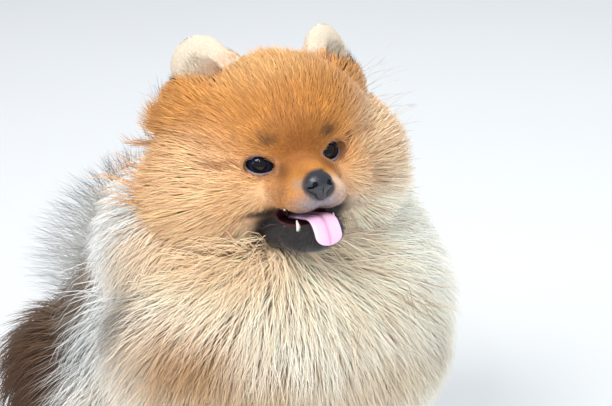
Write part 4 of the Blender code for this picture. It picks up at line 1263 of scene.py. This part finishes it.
class DOG_OT_ear_coat(bpy.types.Operator):
    """Grow the velvet of the ears and the longer fur along their outer edges"""

    bl_idname = "dog.ear_coat"
    bl_label = "Ear coat"

    def execute(self, context):
        draw = np.random.default_rng(SEED + 7)
        skin = Skin()
        chosen = in_ear(skin.middles, 1, 0.0006) | in_ear(skin.middles, -1, 0.0006)
        count = context.scene.coat_sizes.ear_tufts
        roots, normals = skin.roots(count, chosen * 1.0, draw)
        left = in_head(roots)[:, :1] > 0.006
        ear = np.where(left, *(moved(roots, ear_frame(side).inverted()) for side in (1, -1)))
        up = np.where(left, *(turned(np.array([[0, 0, 1.0]]), ear_frame(side)) for side in (1, -1)))
        outer = ear[:, 0] * np.where(left[:, 0], 1, -1) > 0.004
        low = ear[:, 2] < 0.004
        in_cup = reach_out(ear, EAR_CUP, 0.0008) < 1
        lie = along(up + 0.25 * wavering(roots, 90.0, 10) + draw.normal(0, 0.10, (count, 3)), normals)
        lengths = np.where(low, 0.0062, 0.0034) * draw.uniform(0.7, 1.2, count)
        lengths = np.where(outer & low, 0.0120 * draw.uniform(0.7, 1.2, count), lengths)
        lengths = np.where(in_cup, 0.0065 * draw.uniform(0.6, 1.2, count), lengths)
        lifts = np.radians(draw.uniform(6, 18, count)) + np.where(in_cup, 0.30, 0.0)
        lines = clumped(tuft_lines(roots, normals, lie, lengths, lifts, 0.0, 3, draw), roots, 0.25, draw, 8)
        back = np.maximum(smooth_step(-0.002, 0.004, ear[:, 1]), 0.75)
        root_part = back * smooth_step(0.008, -0.006, ear[:, 2])
        edge = (outer & ~in_cup) * smooth_step(0.018, 0.006, ear[:, 2]) * 0.92
        base = mix(palette("ear"), palette("forehead") * 1.15, root_part[:, None])
        base = mix(base, palette("ear_rim"), edge[:, None])
        colours = two_tones(base, tones(draw, 0.12, count), 0.85, 1.1)
        widths = EAR_WIDTH * draw.uniform(0.7, 1.3, count)
        parts = (lines, widths, normals, *colours, ball_unwrap(in_head(roots), (0, 0.030, 0.020)))
        split_coat("ear_coat", parts, whole(count), "pale_coat", hair("ear_hair", 0.6, 1500.0), PROFILE_SHORT)
        return {"FINISHED"}


def lid_edge(t, side, grow):
    """A point of the lid's edge at t from 0 to 1 round it, as x and z in the eye's frame."""
    angle = 2 * math.pi * t
    x = math.cos(angle)
    power, height = (0.62, 0.0045) if math.sin(angle) >= 0 else (0.75, -0.0041)
    z = (1 - abs(x) ** 2.3) ** power * height
    if x * side < 0:
        z -= 0.0011 * abs(x) ** 3
    return x * (EYE_OPENING[0] + grow), z * (1 + grow / 0.0048)


def bridge(bm, rings, flip=False):
    """Faces between each ring of vertices and the next."""
    for low, high in zip(rings, rings[1:]):
        for i in range(len(low)):
            corners = (low[i - 1], low[i], high[i], high[i - 1])
            bm.faces.new(corners[::-1] if flip else corners)


class DOG_OT_lids(bpy.types.Operator):
    """Make the eyelids with their dark rims"""

    bl_idname = "dog.lids"
    bl_label = "Eyelids"

    def execute(self, context):
        settings = {"Roughness": 0.38, "Specular IOR Level": 0.5}
        finish = surface("lid_skin", markings, 1200.0, 0.15, settings, (2400.0, 0.35, 0.0003))
        tints = [mix(palette("lid") * light, np.array(LID_BROWN), share) for light, share in LID_TINTS]
        tints = [LID_EDGE, LID_EDGE, *tints]
        around = 56
        for side, word in SIDES:
            bm = bmesh.new()
            layer = bm.verts.layers.float_color.new("coat")
            to_world = eye_frame(side)
            outers = [(grow, rise, shade) for (grow, rise), shade in zip(LID_RINGS, tints)]
            inners = [(grow, LID_INSIDE, shade) for grow, _, shade in outers[1:-1]]
            grow, rise, shade = outers[-1]
            rings = []
            for grow, rise, shade in outers + inners + [(grow, rise - LID_THICKNESS, shade)]:
                ring = []
                for i in range(around):
                    x, z = lid_edge(i / around, side, grow)
                    radius = EYE_RADIUS + rise
                    flat = min(math.hypot(x, z) / radius, 0.985)
                    scale = flat * radius / max(math.hypot(x, z), 1e-9)
                    y = -radius * math.sqrt(1 - flat * flat)
                    vert = bm.verts.new(to_world @ Vector((x * scale, y, z * scale)))
                    vert[layer] = (*shade, 1)
                    ring.append(vert)
                rings.append(ring)
            outers, inners = rings[:len(LID_RINGS)], rings[len(LID_RINGS):]
            bridge(bm, outers)
            bridge(bm, [outers[0]] + inners, True)
            bridge(bm, [outers[-1], inners[-1]])
            bmesh.ops.recalc_face_normals(bm, faces=bm.faces)
            mesh = mesh_of(bm, f"eyelids_{word}")
            mesh.shade_smooth()
            mesh.materials.append(finish)
            obj = new_object(f"eyelids_{word}", mesh)
            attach(obj, "root")
        return {"FINISHED"}


class DOG_OT_eyes(bpy.types.Operator):
    """Make the eyeballs with iris, pupil and a slight bulge in front"""

    bl_idname = "dog.eyes"
    bl_label = "Eyes"

    def execute(self, context):
        settings = {"Roughness": 0.05, "IOR": 1.42}
        # The iris stop carries a painted reflection of the blue sky.
        finish = surface("eye_glaze", gaze(tuple(palette("iris"))), 2600.0, 0.35, settings)
        spin = Euler((math.radians(90), 0, 0)).to_matrix().to_4x4()
        for side, word in SIDES:
            bm = bmesh.new()
            bmesh.ops.create_uvsphere(bm, u_segments=64, v_segments=48, radius=EYE_RADIUS, matrix=spin)
            for vert in bm.verts:
                ahead = max(0.0, -vert.co.y / EYE_RADIUS)
                vert.co *= 1 + 0.004 * smooth_step(0.30, 1.0, ahead)
            mesh = mesh_of(bm, f"eyeball_{word}")
            x, y, z = values_of(mesh.vertices, "co").T
            aside = np.where(y < 0, np.minimum(np.hypot(x, z) / EYE_RADIUS, 1.0), 1.0)
            store(mesh.attributes.new("gaze", "FLOAT", "POINT").data, "value", aside)
            mesh.transform(eye_frame(side))
            mesh.shade_smooth()
            mesh.materials.append(finish)
            obj = new_object(f"eyeball_{word}", mesh)
            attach(obj, "root")
            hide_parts(f"eye_{word}")
        return {"FINISHED"}


class DOG_OT_nose(bpy.types.Operator):
    """Make the nose leather with nostrils, slits and the groove between them"""

    bl_idname = "dog.nose"
    bl_label = "Nose"

    def execute(self, context):
        nose = melted("nose_leather", head_matrices(NOSE_PAD, NOSE_BASE), FINE_VOXEL, 3)
        carved(nose, head_matrices(*both(NOSTRIL, NOSTRIL_SLIT), PHILTRUM))
        softened(nose, 2)
        settings = {"Roughness": 0.36, "Specular IOR Level": 0.6, "Coat Weight": 0.35, "Coat Roughness": 0.22}
        pebbles = (1500.0, 0.6, 0.00025, "ShaderNodeTexVoronoi", "Distance")
        nose.data.materials.clear()
        nose.data.materials.append(surface("wet_nose", plain(*palette("nose")), 1500.0, 0.35, settings, pebbles))
        nose.data.shade_smooth()
        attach(nose, "root")
        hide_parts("nose")
        return {"FINISHED"}


def spline_points(points, count):
    """Evenly spaced places on a smooth line through these points, and their directions."""
    known = np.array(points, float)
    known = np.concatenate([2 * known[:1] - known[1:2], known, 2 * known[-1:] - known[-2:-1]])
    places, ways = [], []
    for s in np.linspace(0, len(points) - 1 - 1e-9, count):
        i = int(s)
        t = s - i
        a, b, c, d = known[i:i + 4]
        first, second, third = c - a, 2 * a - 5 * b + 4 * c - d, 3 * b - a - 3 * c + d
        places.append(0.5 * (2 * b + first * t + second * t**2 + third * t**3))
        ways.append(0.5 * (first + 2 * second * t + 3 * third * t**2))
    return np.array(places), unit(np.array(ways))


class DOG_OT_tongue(bpy.types.Operator):
    """Make the tongue with its crease and rounded tip"""

    bl_idname = "dog.tongue"
    bl_label = "Tongue"

    def execute(self, context):
        count, around = 60, 40
        places, ways = spline_points(TONGUE_LINE, count)
        pink, edge, middle = palette("tongue"), np.array((0.86, 0.60, 0.78)), np.array((0.52, 0.24, 0.36))
        side = np.array((1.0, 0, 0))
        bm = bmesh.new()
        layer = bm.verts.layers.float_color.new("coat")
        rings = []
        for k in range(count):
            s = k / (count - 1)
            end = math.sqrt(max(0.0, 1 - max(0.0, (s - 0.80) / 0.20) ** 2))
            wide = TONGUE_HALF_WIDTH * mix(0.80, 1.0, smooth_step(0.0, 0.6, s)) * max(end, 0.03)
            thick = TONGUE_HALF_THICKNESS * max(end, 0.2)
            up = unit(np.cross(side, ways[k])) * -1
            up = up if up[2] > 0 or up[1] < 0 else -up
            ring = []
            for i in range(around):
                angle = 2 * math.pi * i / around
                c, sn = math.cos(angle), math.sin(angle)
                over = sn > 0
                x = abs(c) ** 0.85 * math.copysign(1, c)
                crease = 0.42 * math.exp(-((c / 0.13) ** 2)) if over else 0.0
                height = sn * (1 - crease) + (0.15 * c * c if over else 0.0)
                vert = bm.verts.new(HEAD @ Vector(places[k] + side * x * wide + up * height * thick))
                tint = mix(pink, edge, 0.7 * abs(c) ** 3)
                # Along the crease on top the pink is darkened as painted shade; underneath it is a little darker
                # throughout.
                tint = mix(tint, middle, 0.75 * math.exp(-((c / 0.10) ** 2)) if over else 0.2)
                vert[layer] = (*tint, 1)
                ring.append(vert)
            rings.append(ring)
        bridge(bm, rings)
        bm.faces.new(rings[0][::-1])
        bm.faces.new(rings[-1])
        bmesh.ops.recalc_face_normals(bm, faces=bm.faces)
        mesh = mesh_of(bm, "tongue_flesh")
        mesh.shade_smooth()
        settings = {
            "Roughness": 0.42, "Subsurface Weight": 0.15, "Subsurface Radius": (0.004, 0.0015, 0.0012),
            "Subsurface Scale": 1.0, "Coat Weight": 0.25, "Coat Roughness": 0.3,
        }
        mesh.materials.append(surface("wet_tongue", markings, 500.0, 0.06, settings, (3200.0, 0.35, 0.0002)))
        obj = new_object("tongue_flesh", mesh)
        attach(obj, "root")
        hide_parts("tongue")
        return {"FINISHED"}


def put_cones(name, cones, finish):
    """One object of slightly rounded cones: segments, foot's and tip's radius, length and place."""
    bm = bmesh.new()
    for segments, foot, tip, depth, matrix in cones:
        bmesh.ops.create_cone(
            bm, cap_ends=True, segments=segments, radius1=foot, radius2=tip, depth=depth, matrix=matrix
        )
    mesh = mesh_of(bm, name)
    mesh.shade_smooth()
    obj = new_object(name, mesh)
    soft = obj.modifiers.new("round", "BEVEL")
    soft.width, soft.segments, soft.limit_method, soft.angle_limit = 0.0003, 2, "ANGLE", math.radians(50)
    applied(obj)
    obj.data.materials.clear()
    obj.data.materials.append(finish)
    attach(obj, "root")


class DOG_OT_teeth(bpy.types.Operator):
    """Make the teeth of both jaws and the claws of all feet"""

    bl_idname = "dog.teeth"
    bl_label = "Teeth and claws"

    def execute(self, context):
        teeth, claws = [], []
        tilt = Euler((math.radians(112), 0, 0)).to_matrix().to_4x4()
        feet = ((FORE_FOOT, FORE_TOE, FORE_TOE_SPREAD), (HIND_FOOT, HIND_TOE, HIND_TOE_SPREAD))
        for side in (1, -1):
            for rows, way in ((TEETH, 1), (UPPER_TEETH, -1)):
                lean = Euler((0, math.radians(6) * side * way, 0)).to_matrix().to_4x4()
                for (x, y, z), radius, height in rows:
                    matrix = HEAD @ Matrix.Translation((x * side, y, z + way * height / 2)) @ lean
                    teeth.append((14, *(radius, radius * 0.22)[::way], height, matrix))
            for foot in feet:
                for (x, y, z), radii, _ in paw_shapes(*foot, side)[1:]:
                    matrix = BODY @ Matrix.Translation((x, y - radii[1] - 0.0008, 0.0036)) @ tilt
                    claws.append((12, 0.0013, 0.0004, 0.0050, matrix))
        enamel = surface("enamel", plain(0.80, 0.76, 0.66), 900.0, 0.10, {"Roughness": 0.25})
        put_cones("teeth", teeth, enamel)
        horn = surface("claw_horn", plain(0.045, 0.036, 0.032), 1200.0, 0.3, {"Roughness": 0.35})
        put_cones("claws", claws, horn)
        return {"FINISHED"}


class DOG_OT_wisps(bpy.types.Operator):
    """Make the stray hairs at the cheeks and the golden curls on the chest"""

    bl_idname = "dog.wisps"
    bl_label = "Stray hairs"

    def execute(self, context):
        draw = np.random.default_rng(SEED + 8)
        groups = []
        for where, centre, way, length, curl, count, colour in WISPS:
            to_world = HEAD if where == "head" else BODY
            roots = moved(np.array(centre) + draw.normal(0, 0.006, (count, 3)), to_world)
            lie = unit(turned(np.array(way) + draw.normal(0, 0.22, (count, 3)), to_world))
            out = np.tile((0, -1.0, 0.3), (count, 1))
            if where == "head":
                out = roots - np.array(HEAD @ Vector((0, 0.03, 0)))
            normal = unit(np.cross(np.cross(lie, out), lie))
            lengths = length * draw.uniform(0.6, 1.15, count)
            lines = tuft_lines(roots, normal, lie, lengths, np.full(count, 0.15), 0.05, 5, draw, curl)
            tint = np.array(colour) * tones(draw, 0.12, count)
            widths = WISP_WIDTH * draw.uniform(0.7, 1.3, count)
            unwrap = ball_unwrap(roots, (0, 0, 0.15))
            groups.append((lines, widths, normal, tint * 0.9, np.clip(tint, 0, BRIGHTEST), unwrap))
        parts = tuple(np.concatenate(part) for part in zip(*groups))
        finish = hair("stray_hair", 0.5, 1500.0)
        split_coat("stray_hairs", parts, whole(len(parts[0])), "cream_coat", finish, PROFILE_LONG, 0.0)
        return {"FINISHED"}


def area_light(name, place, target, size, power, colour):
    light = bpy.data.lights.new(name, "AREA")
    light.shape, light.size, light.energy, light.color = "DISK", size, power, colour
    obj = new_object(name, light)
    obj.location = place
    obj.rotation_euler = (Vector(target) - Vector(place)).to_track_quat("-Z", "Y").to_euler()
    return obj


class DOG_OT_stage(bpy.types.Operator):
    """Lay the pale floor and set the soft lights and the camera"""

    bl_idname = "dog.stage"
    bl_label = "Stage"

    def execute(self, context):
        stage = context.scene.stage_sizes
        bm = bmesh.new()
        bmesh.ops.create_grid(bm, x_segments=2, y_segments=2, size=stage.floor_size / 2)
        mesh = mesh_of(bm, "floor")
        mesh.materials.append(surface("pale_floor", plain(0.70, 0.70, 0.69), 6.0, 0.015, {"Roughness": 0.85}))
        new_object("floor", mesh)

        world = bpy.data.worlds.new("soft_room")
        world.use_nodes = True
        background = world.node_tree.nodes["Background"]
        background.inputs["Color"].default_value = (0.84, 0.90, 1.0, 1)
        background.inputs["Strength"].default_value = 0.55
        context.scene.world = world
        context.scene.view_settings.view_transform = "Standard"

        turn, rise = stage.camera_azimuth, stage.camera_elevation
        across = Vector((math.cos(turn), math.sin(turn), 0))
        ahead = -Vector((math.sin(turn) * math.cos(rise), -math.cos(turn) * math.cos(rise), math.sin(rise)))
        up = across.cross(ahead)
        target = across * AIM_ASIDE + up * AIM_UP + ahead * BETWEEN_EYES.dot(ahead) + STANCE
        lens = bpy.data.cameras.new("photo_view")
        lens.sensor_width = SENSOR
        lens.lens = SENSOR * stage.camera_distance / stage.frame_width
        camera = new_object("photo_view", lens)
        camera.location = target - ahead * stage.camera_distance
        camera.rotation_euler = ahead.to_track_quat("-Z", "Y").to_euler()
        context.scene.camera = camera

        for name, aside, height, away, size, power, colour in LIGHTS:
            a, e = turn + math.radians(aside), math.radians(height)
            place = Vector((math.sin(a) * math.cos(e), -math.cos(a) * math.cos(e), math.sin(e))) * away
            lamp = area_light(name, place + Vector(LIGHTS_AIM), LIGHTS_AIM, size, power, colour)
            lamp.visible_glossy = name in ("key_light", "sparkle_light", "sky_light")
        return {"FINISHED"}


class DOG_PT_panel(bpy.types.Panel):
    """Sizes, colours and steps of the dog"""

    bl_idname = "DOG_PT_panel"
    bl_label = "Sitting Pomeranian"
    bl_space_type = "VIEW_3D"
    bl_region_type = "UI"
    bl_category = "Pomeranian"

    def draw(self, context):
        for name, _ in GROUPS:
            group = getattr(context.scene, name)
            box = self.layout.box()
            for setting in group.__annotations__:
                box.prop(group, setting)
        for step in STEPS:
            self.layout.operator(step.bl_idname)


STEPS = (
    DOG_OT_skin,
    DOG_OT_face_coat,
    DOG_OT_head_coat,
    DOG_OT_ruff,
    DOG_OT_back_coat,
    DOG_OT_plume,
    DOG_OT_leg_coat,
    DOG_OT_ear_coat,
    DOG_OT_lids,
    DOG_OT_eyes,
    DOG_OT_nose,
    DOG_OT_tongue,
    DOG_OT_teeth,
    DOG_OT_wisps,
    DOG_OT_stage,
)
GROUPS = (("coat_colours", CoatColours), ("coat_sizes", CoatSizes), ("stage_sizes", StageSizes))


def register():
    for name, group in GROUPS:
        bpy.utils.register_class(group)
        setattr(bpy.types.Scene, name, bpy.props.PointerProperty(type=group))
    for made in (*STEPS, DOG_PT_panel):
        bpy.utils.register_class(made)


def unregister():
    for made in (DOG_PT_panel, *reversed(STEPS)):
        bpy.utils.unregister_class(made)
    for name, group in reversed(GROUPS):
        delattr(bpy.types.Scene, name)
        bpy.utils.unregister_class(group)


def main():
    register()
    for step in STEPS:
        family, name = step.bl_idname.split(".")
        getattr(getattr(bpy.ops, family), name)()


if __name__ == "__main__":
    main()
